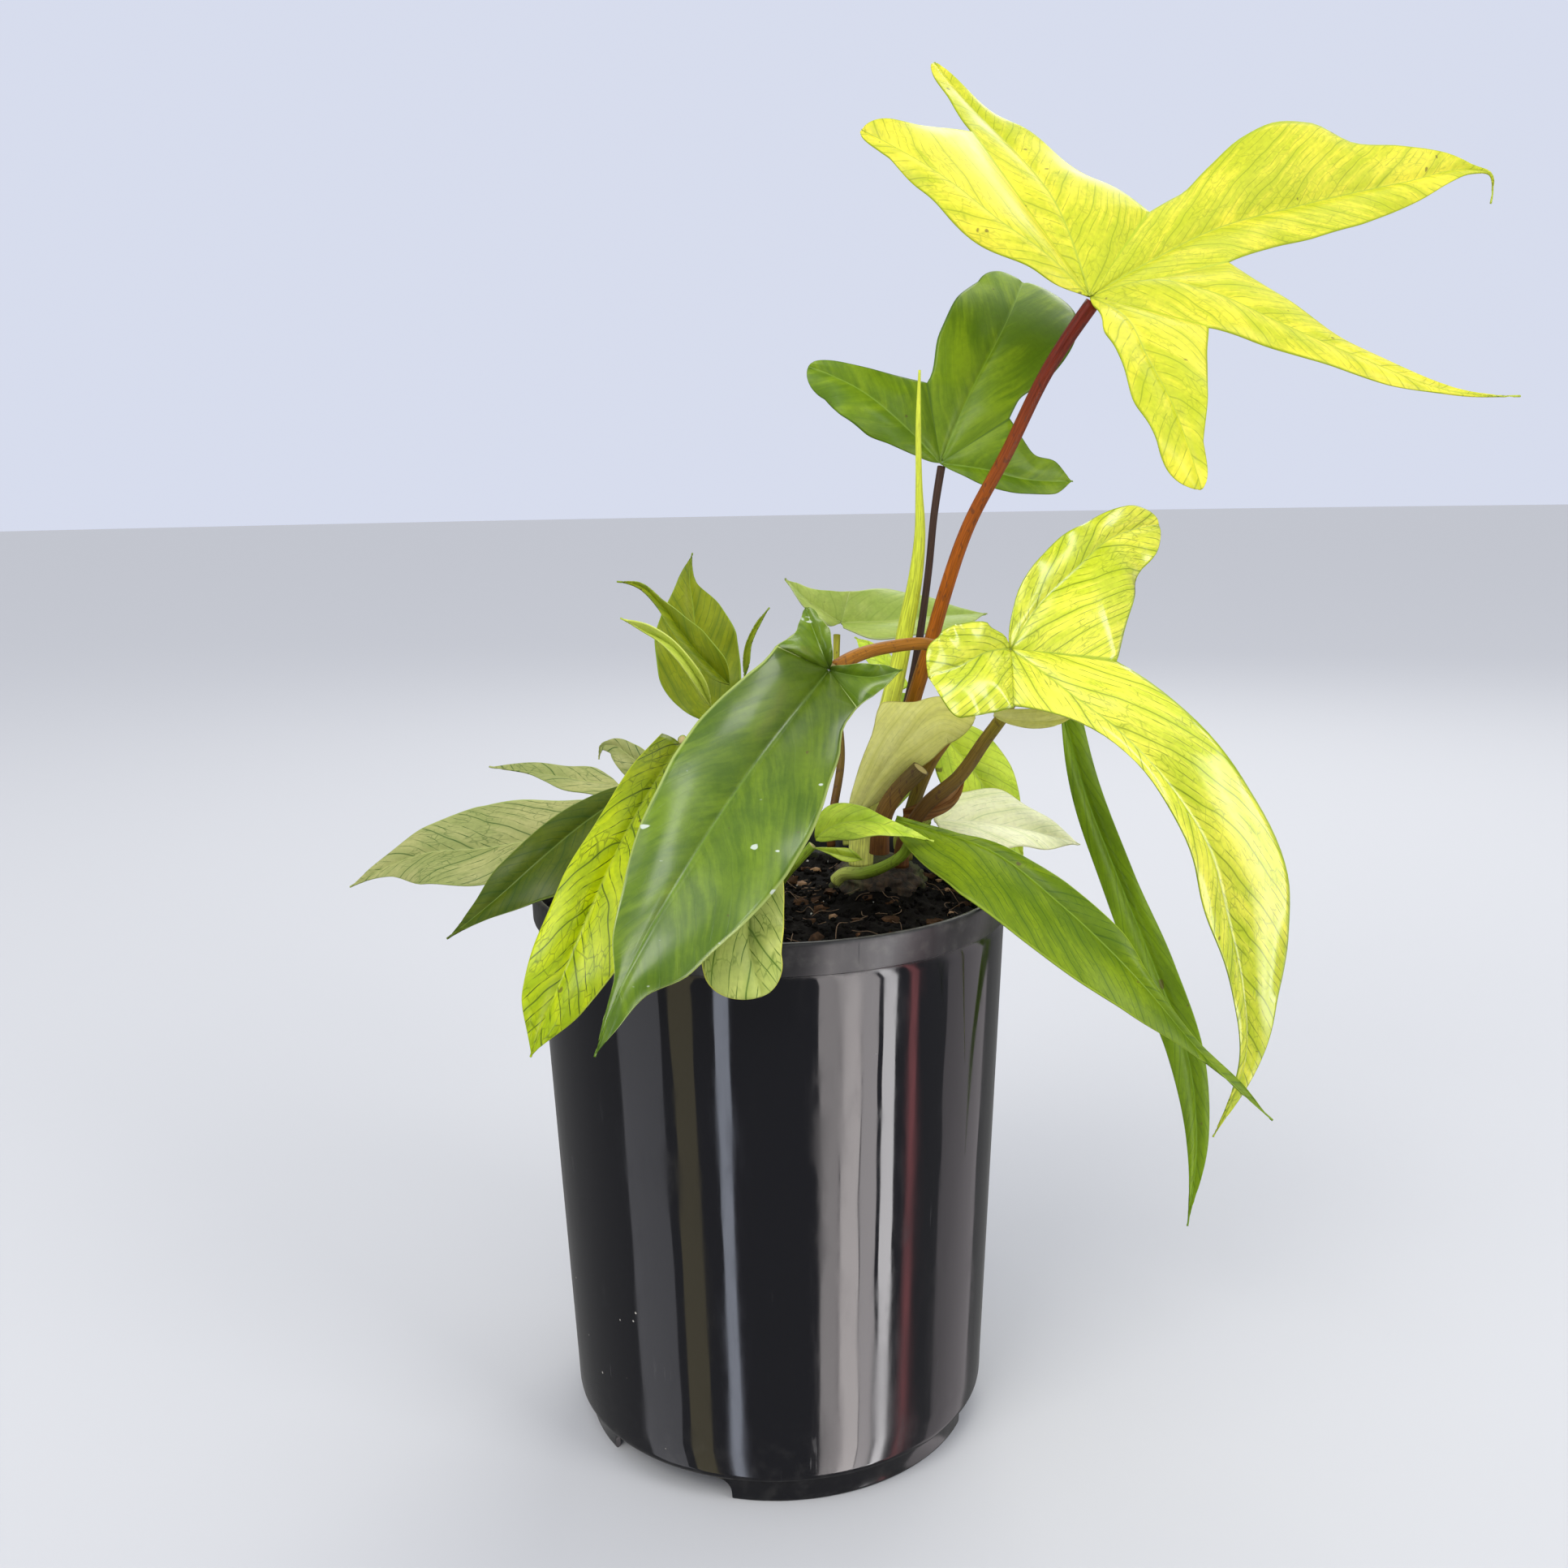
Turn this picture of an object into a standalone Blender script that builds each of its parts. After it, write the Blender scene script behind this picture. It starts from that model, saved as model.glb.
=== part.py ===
"""Young philodendron with lobed leaves in a tall round nursery pot.

All lengths in the tables are millimetres. The pot stands on Z = 0 with its axis on Z; -Y is the front.
Each leaf blade is a fan of lobes about the place where its stalk meets it.
"""
import math

import bmesh
import bpy
import numpy as np

MM = 0.001
GAP = 0.3
BLADE_THICKNESS = 0.8
TURNING_STEPS = 48

# Pot: radius and height of each turn of the wall.
RIM_TOP = 165.0
RIM_RADIUS = 70.0
RIM_INNER_RADIUS = 68.0
COLLAR_HEIGHT = 9.0
WALL_TOP_RADIUS = 68.6
WALL_FOOT_RADIUS = 62.4
WALL = 1.5
SKIRT_HEIGHT = 8.0
SKIRT_RADIUS = 59.5
FLOOR_TOP = 9.2
FLOOR_UNDERSIDE = 7.2
PAD_RADIUS = 20.0
PAD_TOP = 2.0
DRAIN_RADIUS = 4.0
DRAIN_CIRCLE = 40.0
FOOT_CUT_CIRCLE = 56.0
DRAIN_COUNT = 6
ARCH_ANGLES = (236.0, 356.0, 116.0)
ARCH_WIDTH = 42.0
ARCH_HEIGHT = 6.4

# Soil and the two clumps of crown that stand in it.
SOIL_TOP = 155.0
CROWN_TOP = 165.0
CROWN_DEPTH = 12.0
CROWNS = {
    "crown_main": ((33, 18), (15, 17)),
    "crown_side": ((-13, 16), (12, 18)),
}

# Which way a blade's upper side looks.
OUT = (0.0, -1.0, 0.2)
UP_AND_OUT = (0.2, -1.0, 0.35)
SKYWARD = (0.1, -0.8, 0.7)
UPWARD = (0.0, -0.5, 1.0)


def lobe(rib, left, right, left_notch=None, right_notch=None, face=OUT, fold=0.12, ease=2,
         blunt=False):
    """One lobe: its midrib, its half widths at equal steps along it and the notches beside it.

    A notch is its bottom point, how far along the midrib it lies and its share of the mesh rows.
    """
    return {"rib": rib, "left": left, "right": right, "left_notch": left_notch,
            "right_notch": right_notch, "face": face, "fold": fold, "ease": ease, "blunt": blunt}


def stem(points, base_radius, tip_radius):
    """A stalk: its centre line from the crown up and its radius at both ends."""
    return {"points": points, "base_radius": base_radius, "tip_radius": tip_radius}


LEAVES = {
    "top_leaf": [
        lobe([(90, -5, 327), (78, -6, 338), (65, -6, 347), (52, -2, 358), (29, 10, 374)],
             left=(0, 6.5, 9, 10.5, 8, 4.5, 0), right=(8, 8, 8, 8, 8, 8, 0),
             right_notch=((63, 38, 379), 0.72, 0.65), face=UP_AND_OUT, blunt=True),
        lobe([(90, -5, 327), (84, 18, 356), (76, 40, 374), (67, 58, 389), (56, 78, 409)],
             left=(5, 5, 5, 5, 5, 5, 0), right=(0, 0, 0, 1, 2, 2, 0),
             left_notch=((63, 38, 379), 0.68, 0.65), right_notch=((112, 22, 353), 0.25, 0.25),
             face=UP_AND_OUT, blunt=True),
        lobe([(90, -5, 327), (110, 10, 338), (128, 22, 347), (163, 42, 358), (200, 58, 367),
             (223, 67, 372), (232, 71, 371), (231, 68, 362)],
             left=(15, 15, 15, 15, 19, 24, 26, 24, 15, 11, 6, 1, 0),
             right=(10, 10, 10, 10, 10, 10, 11, 11, 9.5, 7, 4, 1, 0),
             left_notch=((112, 22, 353), 0.17, 0.25), right_notch=((131, 8, 337), 0.29, 0.35),
             face=UP_AND_OUT),
        lobe([(90, -5, 327), (108, -5, 331), (123, -8, 327), (140, -10, 319), (161, -10, 310),
             (192, -5, 300), (212, 0, 299)],
             left=(0, 0, 0, 0, 0, 0.5, 0), right=(1.5, 1.5, 1.5, 3, 2.5, 0.5, 0),
             left_notch=((131, 8, 337), 0.29, 0.35), right_notch=((119, -18, 317), 0.27, 0.3),
             face=UP_AND_OUT),
        lobe([(90, -5, 327), (97, -18, 320), (100, -32, 308), (104, -44, 295), (108, -56, 275)],
             left=(9, 9, 9, 9, 6.5, 3.5, 0), right=(0, 6, 9, 9, 10, 9, 0),
             left_notch=((119, -18, 317), 0.35, 0.3), face=UP_AND_OUT, blunt=True),
    ],
    "green_lobed_leaf": [
        lobe([(54, 38, 284), (44, 34, 294), (29, 32, 306), (14, 34, 313)],
             left=(0, 4.5, 7.5, 10, 10, 7.5, 0), right=(4, 4, 4, 4, 4, 4, 0),
             right_notch=((50, 40, 308), 0.5, 0.4), blunt=True),
        lobe([(54, 38, 284), (63, 42, 304), (75, 52, 325), (84, 72, 341)],
             left=(8, 8, 8, 14, 16, 13, 0), right=(15, 15, 15, 20, 22, 20, 0),
             left_notch=((50, 40, 308), 0.33, 0.4), right_notch=((75, 38, 297), 0.25, 0.3), blunt=True),
        lobe([(54, 38, 284), (67, 36, 282), (79, 38, 279), (96, 44, 278)],
             left=(2, 2, 2, 2, 2, 4.5, 0), right=(0, 3, 5, 5, 4.5, 4, 0),
             left_notch=((75, 38, 297), 0.5, 0.3)),
    ],
    "right_yellow_leaf": [
        lobe([(67, -22, 233), (75, -18, 244), (87, -10, 254), (99, 0, 262), (114, 8, 265)],
             left=(0.5, 6, 9, 9.5, 7.5, 7, 0), right=(10.5, 10.5, 10.5, 10.5, 10.5, 9.5, 0),
             right_notch=((96, -22, 229), 0.5, 0.2), blunt=True),
        lobe([(67, -22, 233), (80, -30, 223), (94, -36, 212), (107, -38, 198), (119, -36, 180),
             (127, -30, 158), (134, -24, 135), (138, -16, 110), (132, -8, 83)],
             left=(17, 17, 17, 17, 18, 15, 8, 3, 0), right=(0, 0, 1.5, 5.5, 8, 5.5, 3.5, 2, 0),
             left_notch=((96, -22, 229), 0.15, 0.2), right_notch=((66, -34, 219), 0.06, 0.1),
             fold=(0.1, 0.5), ease=9),
        lobe([(67, -22, 233), (59, -30, 233), (51, -36, 230), (43, -40, 228)],
             left=(13, 13, 13, 15, 14, 13, 0), right=(0, 5, 8, 10, 10.5, 9, 0),
             left_notch=((66, -34, 219), 0.3, 0.1), blunt=True),
    ],
    "folded_lobe": [
        lobe([(63, -18, 214), (70, -21, 213), (77, -23, 213), (85, -22, 214)],
             left=(1.5, 3, 3.5, 2.5, 0), right=(0, 1.5, 2, 1.5, 0)),
    ],
    "strap_leaf": [
        lobe([(91, 30, 209), (98, 28, 184), (109, 24, 155), (120, 18, 127), (128, 8, 103), (130, 2, 79),
             (127, -2, 51)],
             left=(5.5, 5, 5, 6, 5, 3.5, 0), right=(0, 4.5, 6, 7, 6.5, 3.5, 0)),
    ],
    "right_front_leaf": [
        lobe([(36, -14, 184), (48, -18, 181), (60, -24, 178), (79, -38, 165), (98, -48, 147),
             (114, -52, 128), (136, -48, 106)],
             left=(1.5, 1.5, 3.5, 6, 6, 2.5, 1.5, 2, 0), right=(3, 14, 19, 17, 15, 10, 3, 0, 0),
             face=SKYWARD),
    ],
    "small_pale_leaf": [
        lobe([(13, -18, 180), (20, -22, 185), (30, -26, 186), (38, -26, 183), (46, -24, 180)],
             left=(0.5, 6.5, 4.5, 2, 1.5, 0), right=(1, 5, 6.5, 4, 1, 0),
             face=SKYWARD),
    ],
    "front_leaf": [
        lobe([(17, -30, 229), (23, -34, 228), (29, -38, 228), (36, -40, 230)],
             left=(1, 2.5, 3.5, 3, 0), right=(2, 2, 2, 2, 0),
             right_notch=((24, -40, 220), 0.5, 0.15)),
        lobe([(17, -30, 229), (10, -40, 222), (-1, -52, 210), (-12, -68, 197), (-21, -82, 185),
             (-29, -91, 173), (-35, -96, 162), (-38, -98, 155), (-41, -98, 147)],
             left=(13, 13, 13, 17, 19, 21, 22, 22, 21, 19, 16, 13, 6, 3, 0),
             right=(12, 12, 12, 14, 16, 17, 17, 16, 15, 13, 10, 7, 2, 1, 0),
             left_notch=((24, -40, 220), 0.1, 0.15), right_notch=((3, -42, 237), 0.12, 0.2)),
        lobe([(17, -30, 229), (15, -34, 235), (13, -34, 240), (11, -32, 246)],
             left=(0, 0, 0, 0, 1.5, 0), right=(0, 2, 3, 4, 2.5, 0),
             left_notch=((3, -42, 237), 0.45, 0.2), blunt=True),
    ],
    "back_pale_leaf": [
        lobe([(24, 60, 234), (14, 58, 241), (6, 56, 249)],
             left=(0, 8, 6, 4.5, 0), right=(1.5, 1.5, 1.5, 2, 0),
             right_notch=((27, 62, 244), 0.3, 0.15), face=UPWARD),
        lobe([(24, 60, 234), (36, 62, 234), (55, 68, 235), (74, 76, 235)],
             left=(16, 16, 17, 12, 4, 0), right=(4, 13, 14, 13, 8, 0),
             left_notch=((27, 62, 244), 0.1, 0.15), face=UPWARD),
    ],
    "back_left_leaf": [
        lobe([(-15, 30, 206), (-20, 34, 216), (-22, 38, 228), (-23, 40, 241), (-24, 42, 251),
             (-23, 44, 258)],
             left=(0, 9, 13, 13, 10, 4, 0), right=(3, 12, 13, 13, 9, 2, 0)),
    ],
    "diagonal_leaf": [
        lobe([(-11, 5, 221), (-21, 4, 232), (-30, 8, 244), (-37, 12, 250), (-44, 16, 251)],
             left=(0, 3, 2.5, 2.5, 1.5, 1, 0), right=(0, 5.5, 6, 3.5, 1.5, 1, 0),
             fold=0.5),
    ],
    "furled_leaf": [
        lobe([(-16, -6, 216), (-20, -10, 226), (-26, -10, 234), (-35, -8, 239), (-41, -6, 242)],
             left=(0, 2.5, 3, 1, 0), right=(0, 2.5, 2, 3, 0),
             fold=0.9),
    ],
    "thin_tip_leaf": [
        lobe([(-7, 22, 221), (-6, 22, 231), (-3, 22, 237), (1, 24, 242)],
             left=(0, 0.5, 0.5, 0.5, 0), right=(0, 2, 1.5, 1, 0),
             fold=0.6),
    ],
    "left_long_leaf": [
        lobe([(-49, 18, 178), (-68, 22, 173), (-89, 28, 168), (-111, 34, 165), (-126, 38, 159),
             (-137, 40, 153)],
             left=(0, 7, 12, 14, 12, 4, 0), right=(6, 11, 14, 15, 9, 4, 0),
             face=SKYWARD),
    ],
    "left_edge_leaf": [
        lobe([(-48, 40, 185), (-60, 44, 186), (-74, 52, 187), (-94, 62, 188)],
             left=(8.5, 7.5, 4.5, 0.5, 0), right=(0, 6, 5, 3.5, 0),
             face=UPWARD),
    ],
    "left_hooked_leaf": [
        lobe([(-39, 50, 187), (-46, 54, 192), (-52, 58, 195), (-56, 60, 194), (-57, 60, 190)],
             left=(4, 6, 4.5, 2, 0), right=(0, 4.5, 3.5, 1.5, 0)),
    ],
    "left_dark_leaf": [
        lobe([(-37, 0, 193), (-52, -12, 185), (-64, -27, 177), (-76, -31, 167), (-90, -30, 156)],
             left=(0, 11, 14, 15, 9, 3, 0), right=(0, 5, 6.5, 7, 6.5, 3, 0),
             face=SKYWARD),
    ],
    "left_yellow_leaf": [
        lobe([(-24, -20, 208), (-33, -40, 196), (-40, -58, 184), (-47, -72, 169), (-54, -80, 153),
             (-59, -82, 141)],
             left=(3, 12, 15, 16, 16, 13, 8, 0), right=(6, 7.5, 8, 8.5, 9.5, 9.5, 7.5, 0),
             face=SKYWARD),
    ],
    "rim_pale_leaf": [
        lobe([(-1, -46, 185), (-4, -64, 177), (-5, -77, 168), (-2, -83, 156)],
             left=(2, 5, 7.5, 8.5, 9, 7.5, 0), right=(0, 5, 8, 10, 12, 12, 0),
             blunt=True),
    ],
    "right_back_leaf": [
        lobe([(56, 50, 198), (66, 56, 186), (75, 62, 172), (86, 64, 151)],
             left=(6, 11, 11.5, 9, 4.5, 0), right=(4, 11, 13, 12, 8, 0)),
    ],
    "right_white_leaf": [
        lobe([(52, 34, 173), (66, 36, 172), (82, 36, 169), (99, 36, 164)],
             left=(5, 13, 15, 12, 6, 0), right=(8, 15, 15, 11, 7, 0),
             face=UPWARD),
    ],
    "back_small_leaf": [
        lobe([(42, 40, 214), (38, 44, 222), (33, 48, 227), (28, 52, 230)],
             left=(0, 4, 4.5, 3.5, 0), right=(3, 2.5, 2.5, 1.5, 0)),
    ],
    "spike_sheath": [
        lobe([(26, 0, 184), (33, -2, 196), (41, -3, 206), (50, -3, 213), (60, -2, 211)],
             left=(3, 5, 7, 9, 13, 6, 4, 0), right=(0, 5, 6.5, 8.5, 9.5, 9.5, 9.5, 0),
             fold=-0.25, blunt=True),
    ],
    "torn_sheath": [
        lobe([(40, 8, 181), (47, 8, 182), (54, 8, 185), (59, 10, 192)],
             left=(1.5, 2.5, 3, 3.5, 0), right=(2, 3, 2.5, 1.5, 0)),
    ],
    "low_sheath": [
        lobe([(27, -8, 171), (20, -10, 173), (12, -12, 176)],
             left=(0, 1.5, 0.5, 0), right=(0, 2.5, 1.5, 0)),
    ],
}

STEMS = {
    "top_stem": stem([(34, 21, 165.4), (34, 21, 169), (38, 19, 192), (44, 17, 215), (48, 15, 229),
             (52, 13, 244), (59, 8, 266), (69, 3, 286), (80, -1, 309), (91, -3.6, 325.5)],
        2.4, 2.0),
    "green_stem": stem([(29, 28, 165.4), (29, 28, 169), (44, 30, 215), (48, 32, 238), (50, 34, 252),
             (52, 36, 270), (54.3, 38.6, 283)],
        1.6, 1.2),
    "right_yellow_stem": stem([(39, 5, 165.4), (39, 5, 169), (46, 4, 184), (56, 3, 193), (63, 0, 204),
             (68, -5, 213), (70, -12, 222), (67.6, -19, 231.3)],
        2.3, 2.0),
    "front_stem": stem([(41, 14, 165.4), (41, 14, 169), (48, 15, 194), (57, 12, 210), (58, 7, 221),
             (54, 0, 229), (46, -6, 233), (34, -12, 233), (23, -22, 231), (18.4, -26.5, 228.9)],
        2.2, 1.8),
    "strap_stem": stem([(44, 21, 165.4), (44, 21, 169), (53, 21, 182), (64, 24, 196), (73, 28, 207),
             (80, 32, 215), (86, 33, 215), (89.9, 31, 210.4)],
        1.5, 1.2),
    "back_small_stem": stem([(24, 35, 165.4), (24, 35, 169), (41, 37, 199), (42.7, 40, 213.1)],
        1.2, 1.0),
    "right_back_stem": stem([(34, 34, 165.4), (34, 34, 169), (47, 42, 185), (52.7, 47, 196.4)],
        1.4, 1.2),
    "right_white_stem": stem([(40, 29, 165.4), (40, 29, 169), (45, 31, 172), (50.3, 33, 173.2)],
        1.4, 1.2),
    "back_pale_stem": stem([(19, 33, 165.4), (19, 33, 169), (23, 46, 193), (22, 54, 213),
             (22.5, 59, 230.2)],
        1.4, 1.1),
    "back_left_stem": stem([(-14, 24, 165.4), (-14, 24, 169), (-14, 26, 189), (-15.4, 30, 204.8)],
        1.4, 1.2),
    "diagonal_stem": stem([(-8, 14, 165.4), (-8, 14, 169), (-8, 10, 199), (-10.1, 6, 219.5)],
        1.3, 1.2),
    "furled_stem": stem([(-16, 9, 165.4), (-16, 9, 169), (-13, 0, 199), (-15.4, -5, 214.7)],
        1.2, 1.1),
    "thin_tip_stem": stem([(-5, 22, 165.4), (-5, 22, 169), (-6, 20, 198), (-7.3, 22, 219.8)],
        1.2, 1.0),
    "left_long_stem": stem([(-20, 19, 165.4), (-20, 19, 169), (-35, 19, 179), (-48, 18, 178.5)],
        1.4, 1.2),
    "left_edge_stem": stem([(-21, 26, 165.4), (-21, 26, 169), (-32, 34, 184), (-46.7, 39.5, 184.9)],
        1.3, 1.1),
    "left_hooked_stem": stem([(-17, 31, 165.4), (-17, 31, 169), (-27, 42, 181), (-38.4, 49.5, 186.3)],
        1.2, 1.0),
    "left_dark_stem": stem([(-21, 12, 165.4), (-21, 12, 169), (-26, 2, 191), (-35.8, 1, 194)],
        1.4, 1.2),
    "left_yellow_stem": stem([(-13, 3, 165.4), (-13, 3, 169), (-16, -2, 185), (-20, -12, 203),
             (-23.9, -18, 208.9)],
        1.6, 1.3),
    "rim_pale_stem": stem([(-6, 1, 165.4), (-6, 1, 169), (-4, -22, 187), (-1, -38, 190),
             (-1.2, -45, 185.8)],
        1.4, 1.2),
    "right_front_stem": stem([(19, -3, 163.4), (21, -4, 165.5), (27, -8, 167), (33, -13, 170.3),
             (38, -16.5, 174.7), (39.5, -18.2, 178)], 1.9, 1.6),
    "small_pale_stem": stem(
        [(0, -6, 155.4), (0, -7, 159), (3, -12, 166), (8, -17, 173), (12.2, -18.2, 178)],
        1.5, 1.2),
    "cut_stub": stem([(32, -4.2, 172), (33.5, -4.6, 184), (43.8, -7.5, 197.5)],
        2.7, 2.7),
}

SPIKE = {
    "points": [(27, 9, 165.4), (27.5, 9, 176), (29, 8.5, 186), (33, 9, 201), (36.6, 10, 216),
               (39.2, 11, 227), (41.4, 12, 238), (43.6, 12, 249), (45.2, 12, 263),
               (45, 12, 277), (44.8, 12, 295), (45.2, 12, 309.7)],
    "radii": (4, 4, 3.8, 3.4, 2.8, 2.6, 2.2, 1.6, 1, 0.8, 0.4),
}

# Colour, roughness of each material.
MATERIALS = {
    "pot_plastic": ((0.012, 0.012, 0.014), 0.25),
    "potting_soil": ((0.03, 0.02, 0.014), 0.95),
    "crown_tissue": ((0.12, 0.08, 0.04), 0.8),
    "yellow_blade": ((0.55, 0.62, 0.05), 0.35),
    "green_blade": ((0.06, 0.16, 0.02), 0.35),
    "pale_blade": ((0.28, 0.4, 0.14), 0.4),
    "sheath_tissue": ((0.6, 0.62, 0.3), 0.5),
    "brown_stalk": ((0.2, 0.08, 0.03), 0.45),
    "green_stalk": ((0.2, 0.26, 0.06), 0.45),
}

BLADE_MATERIALS = {
    "top_leaf": "yellow_blade",
    "right_yellow_leaf": "yellow_blade",
    "folded_lobe": "pale_blade",
    "small_pale_leaf": "pale_blade",
    "back_pale_leaf": "pale_blade",
    "left_long_leaf": "pale_blade",
    "left_edge_leaf": "pale_blade",
    "left_hooked_leaf": "pale_blade",
    "rim_pale_leaf": "pale_blade",
    "right_white_leaf": "pale_blade",
    "furled_leaf": "pale_blade",
    "spike_sheath": "sheath_tissue",
    "torn_sheath": "sheath_tissue",
    "low_sheath": "pale_blade",
}
BROWN_STALKS = ("top_stem", "green_stem", "front_stem", "right_yellow_stem", "cut_stub")
LONG_BLADES = ("top_leaf", "right_yellow_leaf", "front_leaf", "strap_leaf", "right_front_leaf")


def clear_scene():
    for ob in list(bpy.data.objects):
        bpy.data.objects.remove(ob, do_unlink=True)


def new_collection(name):
    collection = bpy.data.collections.new(name)
    bpy.context.scene.collection.children.link(collection)
    return collection


def make_material(name):
    colour, roughness = MATERIALS[name]
    material = bpy.data.materials.new(name)
    material.use_nodes = True
    shader = material.node_tree.nodes["Principled BSDF"]
    shader.inputs["Base Color"].default_value = (*colour, 1.0)
    shader.inputs["Roughness"].default_value = roughness
    shader.inputs["Metallic"].default_value = 0.0
    material.diffuse_color = (*colour, 1.0)
    return material


def settle(ob, collection):
    for other in list(ob.users_collection):
        other.objects.unlink(ob)
    collection.objects.link(ob)


def select_only(*obs):
    bpy.ops.object.select_all(action="DESELECT")
    for ob in obs:
        ob.select_set(True)
    bpy.context.view_layer.objects.active = obs[0]


def apply_modifiers(ob):
    select_only(ob)
    for modifier in list(ob.modifiers):
        bpy.ops.object.modifier_apply(modifier=modifier.name)


def finish(ob, name, material, collection, smooth=True):
    ob.name = name
    ob.data.name = name
    ob.data.materials.clear()
    ob.data.materials.append(material)
    ob.data.polygons.foreach_set("use_smooth", [smooth] * len(ob.data.polygons))
    settle(ob, collection)
    return ob


def turn(name, profile, steps=TURNING_STEPS):
    """Turn a half section about Z. It runs down its outer side."""
    mesh = bpy.data.meshes.new(name)
    points = [(radius * MM, 0.0, height * MM) for radius, height in profile]
    mesh.from_pydata(points, [(i, i + 1) for i in range(len(points) - 1)], [])
    ob = bpy.data.objects.new(name, mesh)
    bpy.context.scene.collection.objects.link(ob)
    screw = ob.modifiers.new("turn", "SCREW")
    screw.steps = steps
    screw.render_steps = steps
    screw.use_merge_vertices = True
    screw.merge_threshold = 0.00001
    apply_modifiers(ob)
    return ob


def cut(ob, cutters):
    """Take the cutters out of the piece and keep them in the cutters' collection."""
    for cutter in cutters:
        boolean = ob.modifiers.new("cut", "BOOLEAN")
        boolean.operation = "DIFFERENCE"
        boolean.solver = "EXACT"
        boolean.object = cutter
        apply_modifiers(ob)
        settle(cutter, bpy.data.collections["Cutters"])
        cutter.hide_render = True
        cutter.display_type = "WIRE"


def wall_radius(height):
    share = (height - SKIRT_HEIGHT) / (RIM_TOP - COLLAR_HEIGHT - SKIRT_HEIGHT)
    return WALL_FOOT_RADIUS + (WALL_TOP_RADIUS - WALL_FOOT_RADIUS) * share


def build_pot(material, collection):
    collar_foot = RIM_TOP - COLLAR_HEIGHT
    profile = [
        (0, PAD_TOP), (PAD_RADIUS - 1.5, PAD_TOP), (PAD_RADIUS + 2, FLOOR_TOP),
        (WALL_FOOT_RADIUS - WALL - 1.5, FLOOR_TOP), (WALL_FOOT_RADIUS - WALL, FLOOR_TOP + 1.5),
        (WALL_TOP_RADIUS - WALL, collar_foot), (RIM_INNER_RADIUS, RIM_TOP - 0.8),
        (RIM_INNER_RADIUS + 0.6, RIM_TOP), (RIM_RADIUS - 0.6, RIM_TOP),
        (RIM_RADIUS, RIM_TOP - 0.7), (RIM_RADIUS - 0.2, collar_foot + 0.5),
        (RIM_RADIUS - 0.6, collar_foot), (WALL_TOP_RADIUS, collar_foot - 0.6),
        (WALL_FOOT_RADIUS, SKIRT_HEIGHT + 0.6), (WALL_FOOT_RADIUS - 0.6, SKIRT_HEIGHT),
        (SKIRT_RADIUS, SKIRT_HEIGHT - 0.6), (SKIRT_RADIUS - 0.5, 0.4), (SKIRT_RADIUS - 0.9, 0),
        (SKIRT_RADIUS - 2, 0), (SKIRT_RADIUS - 2, FLOOR_UNDERSIDE),
        (PAD_RADIUS + 3.5, FLOOR_UNDERSIDE), (PAD_RADIUS, 0.4), (PAD_RADIUS - 0.4, 0), (0, 0),
    ]
    pot = turn("pot", profile)
    cutters = []
    for angle in ARCH_ANGLES:
        bpy.ops.mesh.primitive_cube_add(size=1)
        arch = bpy.context.active_object
        arch.scale = (16 * MM, ARCH_WIDTH * MM, 2 * ARCH_HEIGHT * MM)
        bpy.ops.object.transform_apply(location=False, rotation=False, scale=True)
        bevel = arch.modifiers.new("corners", "BEVEL")
        bevel.width = 3 * MM
        bevel.segments = 3
        bevel.affect = "EDGES"
        apply_modifiers(arch)
        heading = math.radians(angle)
        reach = FOOT_CUT_CIRCLE * MM
        arch.rotation_euler.z = heading
        arch.location = (reach * math.cos(heading), reach * math.sin(heading), 0)
        bpy.ops.object.transform_apply(location=True, rotation=True, scale=False)
        arch.name = f"arch_{int(angle)}"
        cutters.append(arch)
    for number in range(DRAIN_COUNT):
        angle = 2 * math.pi * number / DRAIN_COUNT
        bpy.ops.mesh.primitive_cylinder_add(vertices=16, radius=DRAIN_RADIUS * MM, depth=6 * MM)
        drain = bpy.context.active_object
        across, deep = DRAIN_CIRCLE * math.cos(angle), DRAIN_CIRCLE * math.sin(angle)
        drain.location = (across * MM, deep * MM, 8.2 * MM)
        bpy.ops.object.transform_apply(location=True, rotation=False, scale=False)
        drain.name = f"drain_{number}"
        cutters.append(drain)
    cut(pot, cutters)
    return finish(pot, "pot", material, collection)


def crown_outline(name, clearance):
    """The crown as a low tapering block, or the socket for it when clearance is given."""
    (x, y), (radius_x, radius_y) = CROWNS[name]
    bpy.ops.mesh.primitive_cylinder_add(vertices=24, radius=1, depth=1)
    ob = bpy.context.active_object
    low = SOIL_TOP - CROWN_DEPTH - clearance
    for vertex in ob.data.vertices:
        top = vertex.co.z > 0
        grow = clearance + (0.0 if top else -3.0)
        vertex.co.x = (x + vertex.co.x * (radius_x + grow)) * MM
        vertex.co.y = (y + vertex.co.y * (radius_y + grow)) * MM
        vertex.co.z = (CROWN_TOP + clearance if top else low) * MM
    bevel = ob.modifiers.new("shoulder", "BEVEL")
    bevel.width = (1.2 + 0.5 * clearance) * MM
    bevel.segments = 2
    bevel.limit_method = "ANGLE"
    bevel.angle_limit = math.radians(50)
    apply_modifiers(ob)
    return ob


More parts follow.
